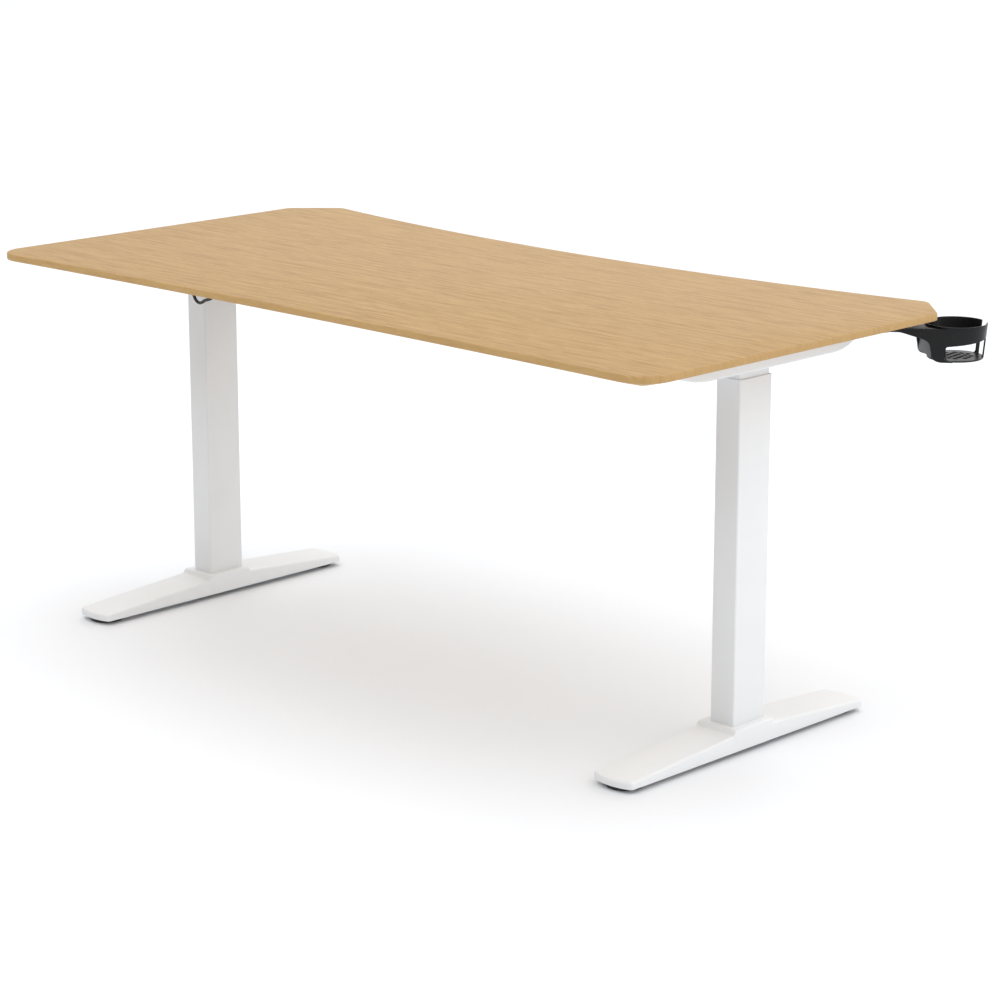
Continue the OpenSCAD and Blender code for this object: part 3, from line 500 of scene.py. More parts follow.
def powder_coat():
    """White polyester powder coat: fine orange peel over a faintly uneven white."""
    f = Finish("white_powder_coat", (0.790, 0.795, 0.800), 0.42)
    peel = f.noise(even(700), 2, 0.5)
    grit = f.noise(even(2600), 2, 0.6)
    cloud = f.noise(even(9), 3, 0.5)
    f.tint(f.ramp(cloud, (0.4, 0), (0.7, 0.5)), (0.765, 0.770, 0.772))
    f.tint(f.ramp(grit, (0.68, 0), (0.78, 0.5)), (0.700, 0.700, 0.695))
    f.rough(peel, 0.36, 0.5)
    f.bump(peel, 0.05, 0.5).bump(grit, 0.012, 0.5)
    return f.material


def metal(name, colour, roughness, stretch, tarnish, amount=0.5, relief=0.01):
    """Bare or plated metal with a directional finish and patches of tarnish."""
    f = Finish(name, colour, roughness, 1.0)
    lines = f.noise(stretch, 3, 0.6)
    patches = f.noise(even(45), 4, 0.6)
    f.tint(f.ramp(patches, (0.45, 0), (0.75, amount)), tarnish)
    f.tint(f.ramp(lines, (0.55, 0), (0.8, amount * 0.7)), tarnish)
    f.rough(patches, roughness - 0.08, roughness + 0.14)
    f.bump(lines, relief, 0.6)
    return f.material


def moulded(name, colour, roughness, pebble=900, relief=0.03, dust=(0.12, 0.12, 0.12), shine=0.5):
    """Moulded plastic: fine spark-eroded texture, slightly lighter where it was handled."""
    f = Finish(name, colour, roughness)
    grain = f.noise(even(pebble), 3, 0.6)
    scuff = f.noise(even(30), 5, 0.65)
    streaks = f.noise((60, 60, 420), 3, 0.6)
    f.tint(f.ramp(scuff, (0.5, 0), (0.85, 0.35)), dust)
    f.tint(f.ramp(streaks, (0.62, 0), (0.8, 0.16)), dust)
    f.rough(scuff, roughness - 0.05, roughness + 0.1)
    f.bump(grain, relief, 0.6)
    f.steady("Specular IOR Level", shine)
    return f.material


def circuit_board():
    """Green solder mask with the copper tracks showing through as lighter lines."""
    f = Finish("board_green", (0.010, 0.085, 0.035), 0.35)
    tracks = f.node("TexBrick", Scale=1.0, Mortar_Size=0.012, Brick_Width=0.35, Row_Height=0.22)
    spread = f.node("Mapping")
    spread.inputs["Scale"].default_value = even(60)
    f.feed(spread.inputs["Vector"], f.place)
    f.feed(tracks.inputs["Vector"], spread.outputs["Vector"])
    f.tint(tracks.outputs["Fac"], (0.035, 0.190, 0.080))
    f.rough(f.noise(even(200)), 0.28, 0.45)
    f.bump(tracks.outputs["Fac"], 0.05, 0.5)
    return f.material


def gloss_face():
    """Glossy black acrylic with hairline scratches."""
    f = Finish("face_gloss", (0.008, 0.008, 0.009), 0.08)
    hairs = f.noise((900, 40, 900), 2, 0.5, 1.5)
    f.tint(f.ramp(f.noise(even(25), 5), (0.55, 0), (0.9, 0.4)), (0.03, 0.03, 0.032))
    f.rough(f.ramp(hairs, (0.6, 0), (0.75, 1)), 0.07, 0.3)
    f.bump(hairs, 0.002, 0.4)
    f.steady("Coat Weight", 0.5)
    return f.material


def make_finishes():
    """Every material slot of the record, by name."""
    steel_grey = (0.33, 0.34, 0.35)
    made = [
        oak(), powder_coat(),
        metal("zinc_steel", (0.62, 0.64, 0.66), 0.34, even(350), (0.40, 0.42, 0.42)),
        metal("bearing_steel", (0.55, 0.56, 0.57), 0.22, (40, 40, 900), steel_grey),
        metal("bronze", (0.62, 0.44, 0.20), 0.3, (40, 40, 700), (0.32, 0.20, 0.09)),
        metal("cast_aluminium", (0.60, 0.61, 0.62), 0.48, even(420), steel_grey, 0.4, 0.06),
        moulded("motor_steel", (0.020, 0.020, 0.021), 0.34, 420, 0.05, (0.08, 0.08, 0.08)),
        moulded("slide_plastic", (0.045, 0.045, 0.047), 0.35, 600),
        moulded("pad_plastic", (0.018, 0.018, 0.018), 0.5, 700, 0.04),
        moulded("box_plastic", (0.022, 0.022, 0.023), 0.46, 1100, 0.05),
        circuit_board(), gloss_face(),
        moulded("button_plastic", (0.070, 0.072, 0.075), 0.38, 1300, 0.02),
        moulded("cable_black", (0.016, 0.016, 0.017), 0.42, 500, 0.02),
        moulded("cup_plastic", (0.0055, 0.0055, 0.006), 0.3, 1200, 0.02,
                (0.009, 0.009, 0.010), 0.25),
    ]
    return {material.name: material for material in made}


# ---------------------------------------------------------------- desktop

LIP = 11.5
BEVEL_RUN = 50
FRONT_BOW, REAR_BOW = 66, 15
CORNER_CUT = 76
DESKTOP_HALF_D = 400
BOW_STEPS = 32
REAR_CORNER_R, CUT_CORNER_R = 55, 25


def inset_outline(vertices, d, steps=12, least_r=1.0):
    """Rounded outline of a polygon moved in by d. Its vertices are (x, y, corner radius)."""
    points = [Vector(v[:2]) for v in vertices]
    count = len(points)

    def inward(a, b):
        way = (b - a).normalized()
        return Vector((-way.y, way.x))

    moved = []
    for i, p in enumerate(points):
        before, after = inward(points[i - 1], p), inward(p, points[(i + 1) % count])
        moved.append(p + d * (before + after) / (1 + before.dot(after)))
    out = []
    for i, b in enumerate(moved):
        if vertices[i][2] == 0:
            out.append((b.x, b.y))
            continue
        u, v = (moved[i - 1] - b).normalized(), (moved[(i + 1) % count] - b).normalized()
        r = max(vertices[i][2] - d, least_r)
        half = math.acos(u.dot(v)) / 2
        centre = b + (u + v).normalized() * r / math.sin(half)
        start = b + u * r / math.tan(half) - centre
        first = math.atan2(start.y, start.x)
        for k in range(steps + 1):
            a = first + k * (math.pi - 2 * half) / steps
            x, y = spoke(r, a)
            out.append((centre.x + x, centre.y + y))
    return out


def bowed(half, bow, shares):
    """(x, depth) of points along a shallow arc as deep as bow, at shares of its half length."""
    r = (half ** 2 + bow ** 2) / (2 * bow)
    return [(half * t, bow - r + math.sqrt(r ** 2 - (half * t) ** 2)) for t in shares]


def desktop_vertices():
    """Sharp outline of the top, anticlockwise: concave front, nearly straight rear, cut corners."""
    half_l, half_d = span("desktop")[1].x, DESKTOP_HALF_D
    cut_x, cut_y = half_l - CORNER_CUT, CORNER_CUT - half_d
    shares = [1 - 2 * k / BOW_STEPS for k in range(1, BOW_STEPS)]
    # The rear's end points would lie within the rounded corners
    rear = [(x, half_d - depth, 0) for x, depth in bowed(half_l, REAR_BOW, shares[1:-1])]
    front = [(-x, depth - half_d, 0) for x, depth in bowed(cut_x, FRONT_BOW, shares)]
    return (
        [(half_l, half_d, REAR_CORNER_R)] + rear + [(-half_l, half_d, REAR_CORNER_R)]
        + [(-half_l, cut_y, CUT_CORNER_R), (-cut_x, -half_d, CUT_CORNER_R)] + front
        + [(cut_x, -half_d, CUT_CORNER_R), (half_l, cut_y, CUT_CORNER_R)]
    )


def desktop_shape():
    low, high = span("desktop")
    vertices = desktop_vertices()
    lip_z = high.z - LIP
    slope = (lip_z - low.z) / BEVEL_RUN
    # (inset, height) from the underside, up the bevel, round both arrises and onto the top
    section = [
        (BEVEL_RUN, low.z), (1.6, lip_z - 1.6 * slope), (0.4, lip_z + 0.05), (0, lip_z + 0.9),
        (0, high.z - 1.7), (0.3, high.z - 0.8), (0.85, high.z - 0.25), (1.7, high.z),
    ]
    return Shape(loft([level(inset_outline(vertices, d, least_r=3), z) for d, z in section]))


# ---------------------------------------------------------------- side arms and rails

ARM_FRONT_R, ARM_REAR_R = 104, 221
ARM_WALL = 2.5
ARM_EDGE_R = 4
ARM_TAB = (28, 64.4, 87.9)  # width, and distance of its middle from the front and the rear end


def side_arm_shape():
    """Boat-shaped channel, open above, with both ends swept up to the top."""
    low, high = span("right_side_arm")
    half_w, h = (high.x - low.x) / 2, high.z - low.z
    front_flat = low.y + math.sqrt(2 * ARM_FRONT_R * h - h * h)
    rear_flat = high.y - math.sqrt(2 * ARM_REAR_R * h - h * h)
    least_h = 1.0

    def sweep(flat, r, way):
        """(y, height of the underside) up one end, from the flat to where it is almost closed."""
        last = math.acos(1 - (h - least_h) / r)
        return [(flat + way * r * math.sin(last * k / 16), r * (1 - math.cos(last * k / 16)))
                for k in range(17)]

    stations = list(reversed(sweep(front_flat, ARM_FRONT_R, -1)))
    stations += [(front_flat + (rear_flat - front_flat) * k / 6, 0) for k in range(1, 6)]
    stations += sweep(rear_flat, ARM_REAR_R, 1)
    rings = []
    for y, rise in stations:
        depth = h - rise
        ring = []
        skins = (0, min(ARM_EDGE_R, depth * 0.6), 1), (min(ARM_WALL, depth * 0.7), 1.5, -1)
        for gap, r, way in skins:
            w, r = half_w - gap, min(r, (depth - gap) * 0.6)
            bottom = low.z + rise + gap
            bends = [spoke(r, math.pi / 2 * k / 5) for k in range(6)]
            half = [(-w, high.z)] + [(-w + r - x, bottom + r - z) for x, z in bends]
            half += [(-x, z) for x, z in reversed(half)]
            ring += [(x, y, z) for x, z in half[::way]]
        rings.append(ring)
    shape = Shape(loft(rings))
    tab_d, from_front, from_rear = ARM_TAB
    tab = block(2 * half_w - 2 * ARM_WALL + 1, tab_d, ARM_WALL, 2, 0.4)
    for y in (low.y + from_front, high.y - from_rear):
        shape.add(tab, at(0, y, high.z - ARM_WALL))
    return shape


def rail_shape(node):
    """Closed rectangular tube between the arms, with a welded plate and bead at each end."""
    length, d, h = size_of(node)
    plate_t = 5
    body_l = length - 2 * plate_t
    along = at(*middle(node)) @ turn("Y", 90)
    body = block(h - 1, d - 1, body_l + 1, 3.5, 0.2)
    plate = block(h, d, plate_t, 1.2, 0.5)
    # (inset, corner radius, height) up the bead
    bead = loft([level(rounded_rect(h - i, d - i, r), z)
                 for i, r, z in ((0.3, 3.6, 0), (0, 3.8, 0.9), (1.2, 3.4, 1.8))])
    shape = Shape(body, along @ at(0, 0, -(body_l + 1) / 2))
    for end in (-1, 1):
        shape.add(plate, along @ at(0, 0, end * (body_l + plate_t) / 2 - plate_t / 2))
        shape.add(bead, along @ at(0, 0, end * body_l / 2) @ turn("X", 90 + 90 * end))
    return shape


# ---------------------------------------------------------------- columns and feet

TUBE_WALL = 2
BASE_PLATE = 8
SLEEVE_WALL = 0.85
FOOT_WALL = 3
FOOT_EDGE_R = 3.4
FOOT_CORNER_R = 7
FOOT_END_R, FOOT_END_BULGE = 112, 8
SEAT_RAMP, SEAT_STEP = 7, 7.5
SEAT_Y = (-41, 50)
SEAT_T = 5
FOOT_END_H = 12
FOOT_SOCKET_R = 9


def outer_tube_shape():
    """Outer tube of a column, closed below by its base plate."""
    low, high = span("right_outer_tube")
    w, d, h = high - low
    levels = [(i, low.z + z, 3) for i, z in rounded_levels(h, 0.4, 0.5)]
    levels += [(TUBE_WALL - 0.4, high.z, 1.4), (TUBE_WALL, high.z - 0.4, 1),
               (TUBE_WALL, low.z + BASE_PLATE, 1)]
    return Shape(loft([level(rounded_rect(w - 2 * i, d - 2 * i, max(r - i, 1)), z)
                       for i, z, r in levels]))


def band_shape(node, r, wall, lip):
    """Tube or thin band as tall as its CAD node."""
    low, high = span(node)
    return Shape(frame_tube(*(high - low).xy, r, wall, low.z, high.z, lip))


def inner_tube_shape():
    return band_shape("right_inner_tube", 2.5, TUBE_WALL, 0.5)


def sleeve_shape(node):
    return band_shape(node, 3, SLEEVE_WALL, 0.2)


def foot_top(y, low, high):
    """Height of the foot's upper skin: sloping ends and smooth ramps up to the seat."""
    end_z, slope_z = low.z + FOOT_END_H, high.z - SEAT_STEP
    if y < SEAT_Y[0]:
        away, reach = SEAT_Y[0] - y, SEAT_Y[0] - low.y
    elif y > SEAT_Y[1]:
        away, reach = y - SEAT_Y[1], high.y - SEAT_Y[1]
    else:
        return high.z
    if away < SEAT_RAMP:
        t = 1 - away / SEAT_RAMP
        return slope_z + SEAT_STEP * t * t * (3 - 2 * t)
    return slope_z + (end_z - slope_z) * (away - SEAT_RAMP) / (reach - SEAT_RAMP)


def foot_shape():
    low, high = span("right_foot")
    half_w = (high.x - low.x) / 2
    ramp = [SEAT_RAMP * k / 8 for k in range(9)]
    stations = [SEAT_Y[0] - a for a in reversed(ramp)] + [SEAT_Y[1] + a for a in ramp]
    front, rear = low.y + FOOT_END_BULGE, high.y - FOOT_END_BULGE
    sides = [front + (stations[0] - front) * k / 6 for k in range(1, 6)] + stations
    sides += [stations[-1] + (rear - stations[-1]) * k / 6 for k in range(1, 6)]

    def arc(x, end):
        """Y of the convex end at x."""
        bulge = math.sqrt(FOOT_END_R ** 2 - x * x) - FOOT_END_R
        return high.y + bulge if end > 0 else low.y - bulge

    across = [half_w * 0.72 * k / 6 for k in range(7)]
    right = [(x, arc(x, -1), 0) for x in across] + [(half_w, arc(half_w, -1), FOOT_CORNER_R)]
    right += [(half_w, y, 0) for y in sides]
    right += [(half_w, arc(half_w, 1), FOOT_CORNER_R)]
    right += [(x, arc(x, 1), 0) for x in reversed(across)]
    vertices = right + [(-x, y, r) for x, y, r in reversed(right[1:-1])]

    def ring(inset, height):
        return [(x, y, height(y)) for x, y in inset_outline(vertices, inset, 6)]

    def top(drop):
        return lambda y: foot_top(y, low, high) - drop

    def flat(z):
        return lambda y: z

    # From the ceiling inside down to the rim, round it and up the outside
    rim = [(FOOT_WALL, 0.6), (FOOT_WALL - 0.6, 0), (0.9, 0), (0.25, 0.3), (0, 1)]
    rings = [ring(FOOT_WALL, top(FOOT_WALL))] + [ring(i, flat(low.z + z)) for i, z in rim]
    rings += [ring(i, top(z)) for z, i in quarter(FOOT_EDGE_R, 4)]
    shape = Shape(loft(rings, mirrored=True))
    seat_l = SEAT_Y[1] - SEAT_Y[0]
    seat_mid = (SEAT_Y[0] + SEAT_Y[1]) / 2
    inside_w = 2 * (half_w - FOOT_WALL) + 1
    shape.add(block(inside_w, seat_l, 2.4, 1, 0.3), at(0, seat_mid, high.z - SEAT_T))
    for y in (SEAT_Y[0] + FOOT_WALL / 2, SEAT_Y[1] - FOOT_WALL / 2):
        web = block(inside_w, FOOT_WALL, high.z - SEAT_T - low.z, 0.5, 0.3)
        shape.add(web, at(0, y, low.z + 0.3))
    for end in ("front", "rear"):
        y, r = middle(f"right_{end}_pad").y, FOOT_SOCKET_R
        socket_h = foot_top(y, low, high) - low.z - 1.5
        socket = [(r, 0.5), (r, socket_h), (4, socket_h), (4, 0.5), (4.5, 0), (r - 0.5, 0)]
        shape.add(lathe(socket, 32, closed=True), at(0, y, low.z))
    return shape


def pad_shape(side, end):
    """Round levelling pad: ribbed rim, anti-slip ring below and a recess for the stud's head."""
    low, high = span(f"{side}_{end}_pad")
    r, h = (high.x - low.x) / 2, high.z - low.z
    mid = (low + high) / 2
    ribs = 48
    # (radius, height, depth of the ribs) from the underside round to the recess
    profile = [
        (20, 0.5, 0), (21, 0, 0), (r - 1.8, 0, 0), (r - 0.8, 0.4, 0.2), (r - 0.2, 1.3, 1),
        (r, 2.2, 1), (r, h - 3, 1), (r - 0.3, h - 2, 0.6), (r - 1.3, h - 1, 0), (r - 3, h - 0.6, 0),
        (16, h - 0.4, 0), (13, h, 0), (5.6, h, 0), (5.05, h - 0.4, 0), (5.05, h - 4, 0),
    ]
    rings = []
    for radius, z, rib in profile:
        ring = []
        for k in range(ribs * 4):
            a = 2 * math.pi * k / (ribs * 4)
            x, y = spoke(radius - 0.45 * rib * (0.5 - 0.5 * math.cos(a * ribs)), a)
            ring.append((mid.x + x, mid.y + y, low.z + z))
        rings.append(ring)
    return Shape(loft(rings))


def stud_shape(side, end):
    low, high = span(f"{side}_{end}_stud")
    mid = (low + high) / 2
    head_r, head_h = 4.95, 3.8
    head = [(head_r - 0.75, 0), (head_r, 0.5), (head_r, head_h - 0.3), (head_r - 0.55, head_h)]
    rod = threaded_rod(3.92, 3.3, 1.25, low.z + head_h - 0.2, high.z)
    return Shape(lathe(head, 24), at(mid.x, mid.y, low.z)).add(rod, at(mid.x, mid.y))


# ---------------------------------------------------------------- screws and bolts

WOOD_SCREW_R, WOOD_SCREW_L = 2.2, 16
WOOD_HEAD_R, WOOD_HEAD_H = 4.5, 3
ARM_SCREW_X, ARM_SCREW_Y = 15, (-212, 150)
LID_SCREW_X, LID_SCREW_Y = 146, 42
LID_T, CUP_PLATE_T, HANDSET_WALL = 3, 4, 2
CUP_SCREW_RING = 18
HANDSET_SCREW_X, HANDSET_SCREW_INSET = 46, 12
RAILS = ("front_rail", "rear_rail")


def corners(x, y):
    return [(i * x, j * y) for i in (-1, 1) for j in (-1, 1)]


def screw_places():
    """(x, y, thickness held) of every screw into the underside."""
    box, handset, pivot = map(middle, ("control_box_case", "handset_case", "cup_pivot_screw"))
    places = [(side * column_x() + x, y, ARM_WALL)
              for side in (-1, 1) for x in (-ARM_SCREW_X, ARM_SCREW_X) for y in ARM_SCREW_Y]
    places += [(box.x + x, box.y + y, LID_T) for x, y in corners(LID_SCREW_X, LID_SCREW_Y)]
    for k in range(3):
        x, y = spoke(CUP_SCREW_RING, math.radians(CUP_ARM_ANGLE + 120 * k))
        places.append((pivot.x + x, pivot.y + y, CUP_PLATE_T - WOOD_HEAD_H))
    handset_y = span("handset_case")[1].y - HANDSET_SCREW_INSET
    return places + [(handset.x + x, handset_y, HANDSET_WALL)
                     for x in (-HANDSET_SCREW_X, HANDSET_SCREW_X)]


def desktop_screws_shape():
    """Wood screws: a threaded shank up into the top and a low head with a hexagonal socket."""
    screw = Shape(socket_screw(1.6, 3, WOOD_HEAD_R, WOOD_HEAD_H, 2.1))
    screw.add(threaded_rod(WOOD_SCREW_R, 1.5, 2.2, 0.2, WOOD_SCREW_L, steps=12, per_turn=6))
    shape = Shape()
    underside = span("desktop")[0].z
    for x, y, held in screw_places():
        shape.add(screw, at(x, y, underside - held))
    return shape


def foot_bolts_shape():
    shape = Shape()
    bolt = socket_screw(3.9, 11.8, 6.5, 6)
    bolt_z = span("right_foot")[1].z - SEAT_T
    for side in SIDES.values():
        for x, y in corners(14, 28):
            shape.add(bolt, at(side * column_x() + x, y, bolt_z))
    return shape


def rail_bolts_shape():
    """Bolts through each arm's inner wall into the ends of the rails."""
    shape = Shape()
    bolt = socket_screw(2.95, 15.5, 5, 4)
    end_x = span("front_rail")[1].x + ARM_WALL
    for rail in RAILS:
        mid = middle(rail)
        for side in SIDES.values():
            for y in (-12, 12):
                shape.add(bolt, at(side * end_x, mid.y + y, mid.z) @ turn("Y", -90 * side))
    return shape


def cup_pivot_screw_shape():
    """Shoulder screw the holder swings on."""
    low, high = span("cup_pivot_screw")
    axis = at(*middle("cup_pivot_screw").xy)
    head_h, shoulder_h = 3, 7
    shape = Shape(socket_screw(4, shoulder_h, 8, head_h, 3.4), axis @ at(0, 0, low.z + head_h))
    return shape.add(threaded_rod(3, 2.5, 1, low.z + head_h + shoulder_h - 0.5, high.z), axis)


# ---------------------------------------------------------------- motors, control box and inlet

MOTOR_AXIS_Y = 24
MOTOR_FLANGE = (38, 46, 4)


def motor_shape():
    """Round gear motor lying across, its square flange against the arm and its end bell inboard."""
    low, high = span("right_motor")
    length = high.x - low.x
    place = at(high.x - column_x(), MOTOR_AXIS_Y, (low.z + high.z) / 2) @ turn("Y", -90)
    shape = Shape(block(*MOTOR_FLANGE, 6, 0.6), place)
    end = length - 6
    # (radius, height) along the gear case, the can, the end bell and the cable boss
    can = [
        (16.5, 3.6), (17.6, 3.6), (18, 4.2), (18, 11), (18.8, 12), (18.8, 34), (19, 34.4),
        (19, 37.6), (18.4, 38.2), (18.4, 41.2), (19, 41.8), (19, end - 13),
        (18.5, end - 12.4), (18.5, end - 10),
        (19, end - 9.4), (19, end - 1.8), (18.6, end - 0.7), (17.4, end), (10.5, end),
        (10.2, end - 0.6), (8.6, end - 0.6), (8, end), (8, length - 0.8), (7.3, length),
        (5.2, length), (5, length - 0.8),
    ]
    shape.add(lathe(can, 64), place)
    screws = [(x, y, MOTOR_FLANGE[2], socket_screw(1.5, 1.5, 2.6, 1.6))
              for y in (-18.5, 18.5) for x in (-14, 14)]
    screws += [(*spoke(14, math.radians(45 + 90 * k)), end, socket_screw(1.2, 1, 2.2, 0.9))
               for k in range(4)]
    for x, y, z, screw in screws:
        shape.add(screw, place @ at(x, y, z) @ turn("X", 180))
    return shape


BOX_WALL = 2.5
BOX_CORNER_R = 6
INLET_W, INLET_H, INLET_DEPTH, INLET_RIM = 27, 20, 24, 2
BOARD_X, BOARD_L, BOARD_D = -20, 180, 90


def inlet_place():
    low, high = span("mains_inlet")
    return at((low.x + high.x) / 2, high.y - INLET_RIM, (low.z + high.z) / 2)


def control_box_shape():
    """Shallow tray with rounded edges, ribbed underneath, with an opening for the inlet."""
    w, d, h = size_of("control_box_case")
    mid, low_z = middle("control_box_case"), span("control_box_case")[0].z
    skin = [(i, z, BOX_CORNER_R) for i, z in rounded_levels(h, 1.8, 0.3, 4)]
    skin += [(BOX_WALL - 0.3, h, 4), (BOX_WALL, h - 0.3, 4), (BOX_WALL, BOX_WALL, 4)]
    tray = Shape(loft([level(rounded_rect(w - 2 * i, d - 2 * i, max(r - i, 0.8)), z)
                       for i, z, r in skin]), at(mid.x, mid.y, low_z))
    cutter = Shape(block(INLET_W, INLET_H, 4 * BOX_WALL, 0.6, 0.01),
                   inlet_place() @ at(0, 2 * BOX_WALL) @ turn("X", 90))
    groove = block(5, d - 50, 1, 2.4, 0.01)
    for k in range(12):
        cutter.add(groove, at(mid.x - 88 + 16 * k, mid.y, low_z - 0.35))
    tray = carve(tray, cutter)
    for x, y in corners(BOARD_L / 2 - 6, BOARD_D / 2 - 6):
        tray.add(lathe([(3, -0.5), (3, 6)], 20),
                 at(mid.x + BOARD_X + x, mid.y + y, low_z + BOX_WALL))
    return tray


def control_box_lid_shape():
    w, d, h = size_of("control_box_lid")
    mid = middle("control_box_lid")
    under = at(mid.x, mid.y, mid.z - h / 2)
    holes = Shape()
    for x, y in corners(LID_SCREW_X, LID_SCREW_Y):
        holes.add(lathe([(WOOD_SCREW_R, -1), (WOOD_SCREW_R, h + 1)], 20), under @ at(x, y))
    return carve(Shape(block(w, d, h, BOX_CORNER_R, 0.7), under), holes)


def mains_inlet_shape():
    """Flanged inlet socket with three pins in its cavity."""
    turned = inlet_place() @ turn("X", -90)
    back = turned @ at(0, 0, -INLET_DEPTH)
    body = Shape(block(INLET_W, INLET_H, INLET_DEPTH + 0.5, 0.8, 0.2), back)
    rim = Shape(block(INLET_W + 4, INLET_H + 4, INLET_RIM, 2.5, 0.6), turned)
    cavity = Shape(block(INLET_W - 3, INLET_H - 3, INLET_DEPTH, 3, 0.01), back @ at(0, 0, 4))
    shape = carve(body, cavity).add(carve(rim, cavity))
    for x, y in ((-7, 2), (0, -3.5), (7, 2)):
        shape.add(block(2, 4, 15, 0.3, 0.4), back @ at(x, y, 3))
    return shape


# ---------------------------------------------------------------- handset

HANDSET_FACE_T = 2
BUTTON_W, BUTTON_H, BUTTON_R, BUTTON_GAP = 11, 9, 2.5, 0.3
BUTTON_FLANGE = 0.8
DISPLAY_X, DISPLAY_W, DISPLAY_H = -38, 30, 11
BUTTONS = ("up_button", "down_button", "memory_button_1", "memory_button_2", "memory_button_3")


def face_place(x=0):
    """On the handset's front: local Z points out at the user and local X along the desk."""
    mid = middle("handset_face")
    return at(mid.x + x, span("handset_face")[0].y, mid.z) @ turn("X", 90)


def button_place(button):
    return face_place(middle(button).x - middle("handset_face").x)


def screw_recess(depth, h, flare):
    """Cutter for a screw hole up through a thickness h, recessed by a depth for the screw's head.
    Its mouth widens through the (extra radius, height) of the flare."""
    r = WOOD_HEAD_R
    return lathe([(r + wide, z) for wide, z in flare]
                 + [(r + 0.2, depth), (WOOD_SCREW_R, depth), (WOOD_SCREW_R, h + 1)], 28)


def handset_case_shape():
    """Shell under the front edge, its lower edges rounded and its front hollow."""
    low, high = span("handset_case")
    w, d, h = high - low
    mid = middle("handset_case")
    shell = Shape(block(w, d, h, 4, 1.2), at(mid.x, mid.y, low.z))
    hollow_d = d - 22
    hollow = block(w - 2 * HANDSET_WALL, hollow_d, h - 2 * HANDSET_WALL, 1, 0.2)
    cutter = Shape(hollow, at(mid.x, low.y - 1 + hollow_d / 2, low.z + HANDSET_WALL))
    recess = screw_recess(h - HANDSET_WALL, h, ((0.6, -1), (0.2, 0.8)))
    for x in (-HANDSET_SCREW_X, HANDSET_SCREW_X):
        cutter.add(recess, at(mid.x + x, high.y - HANDSET_SCREW_INSET, low.z))
    return carve(shell, cutter)


def handset_face_shape():
    size = size_of("handset_face")
    face = Shape(block(size.x, size.z, HANDSET_FACE_T, 2, 0.35),
                 face_place() @ at(0, 0, -HANDSET_FACE_T))
    cutter = Shape()
    gap = BUTTON_GAP
    opening = block(BUTTON_W + 2 * gap, BUTTON_H + 2 * gap, 4, BUTTON_R + gap, 0.01)
    for button in BUTTONS:
        cutter.add(opening, button_place(button) @ at(0, 0, -3))
    cutter.add(block(DISPLAY_W, DISPLAY_H, 2, 1, 0.01), face_place(DISPLAY_X) @ at(0, 0, -0.4))
    return carve(face, cutter)


def button_shape(button):
    """Domed cap with a raised arrow or one to three dots, and the flange that keeps it in."""
    place = button_place(button)
    mark = 0.25
    cap_h = span("handset_face")[0].y - span(button)[0].y - mark
    back = HANDSET_FACE_T + 0.5
    cap = [(0.2, -back), (0, -back + 0.2), (0, cap_h - 0.7), (0.25, cap_h - 0.25), (0.8, cap_h)]
    shape = Shape(loft([level(rounded_rect(BUTTON_W - 2 * i, BUTTON_H - 2 * i, BUTTON_R - i), z)
                        for i, z in cap]), place)
    flange = block(BUTTON_W + 2 * BUTTON_FLANGE, BUTTON_H + 2 * BUTTON_FLANGE, 1.5, BUTTON_R, 0.2)
    shape.add(flange, place @ at(0, 0, -HANDSET_FACE_T - 1.7))
    face = place @ at(0, 0, cap_h)
    if button.startswith("memory"):
        count = int(button[-1])
        for k in range(count):
            dot = lathe([(0.9, -0.2), (0.9, 0.1), (0.6, mark)], 20)
            shape.add(dot, face @ at(2.6 * (k - (count - 1) / 2)))
        return shape
    way = 1 if button == "up_button" else -1
    arrow = [(-2.4, -1.4 * way), (2.4, -1.4 * way), (0, 1.8 * way)]
    return shape.add(loft([[(x * s, y * s, z) for x, y in arrow]
                           for s, z in ((1, -0.2), (1, 0.1), (0.85, mark))]), face)


# ---------------------------------------------------------------- cables

MOTOR_CABLE_R, HANDSET_CABLE_R = 3, 2.4
LEFT_CABLE_ROUTE = [
    (-472.5, 24, 655), (-462, 24, 655), (-448, 26, 659), (-432, 31, 665), (-412, 38, 670),
    (-390, 46, 671), (-365, 50, 671), (-330, 50, 671), (-295, 50, 671), (-255, 44, 671),
    (-222, 30, 670), (-198, 10, 666), (-178, -8, 660), (-158, -20, 656), (-140, -20, 656),
]
RIGHT_CABLE_ROUTE = [
    (472.5, 24, 655), (464, 24, 655), (454, 26, 655), (446, 32, 655), (442, 42, 655),
    (444, 52, 655),
    (452, 61, 655), (464, 68, 656), (480, 74, 657), (500, 79, 658), (520, 82, 658), (545, 85, 657),
    (568, 87, 655), (586, 88, 650), (599, 88, 641), (606, 88, 630), (609, 88, 617), (607, 88, 604),
    (602, 88, 595), (594, 88, 590), (585, 88, 591), (576, 88, 596), (567, 88, 599), (558, 88, 602),
    (550, 88, 609), (544, 89, 620), (539, 90, 634), (532, 91, 648), (520, 92, 660), (504, 92, 668),
    (482, 92, 671), (450, 92, 671), (410, 92, 671), (370, 92, 671), (330, 86, 671), (290, 74, 671),
    (250, 58, 671), (216, 40, 669), (188, 18, 665), (168, -4, 660), (156, -16, 657),
    (148, -20, 656), (140, -20, 656),
]
HANDSET_CABLE_ROUTE = [
    (480, -282, 665), (480, -270, 665), (476, -252, 668), (462, -234, 671), (438, -220, 672),
    (400, -210, 672), (365, -210, 672), (325, -210, 672), (285, -206, 672), (245, -198, 671),
    (212, -188, 664), (190, -176, 650), (178, -164, 645), (169, -150, 644), (163, -134, 644),
    (160, -118, 647), (158, -100, 653), (150, -80, 656), (140, -80, 656),
]
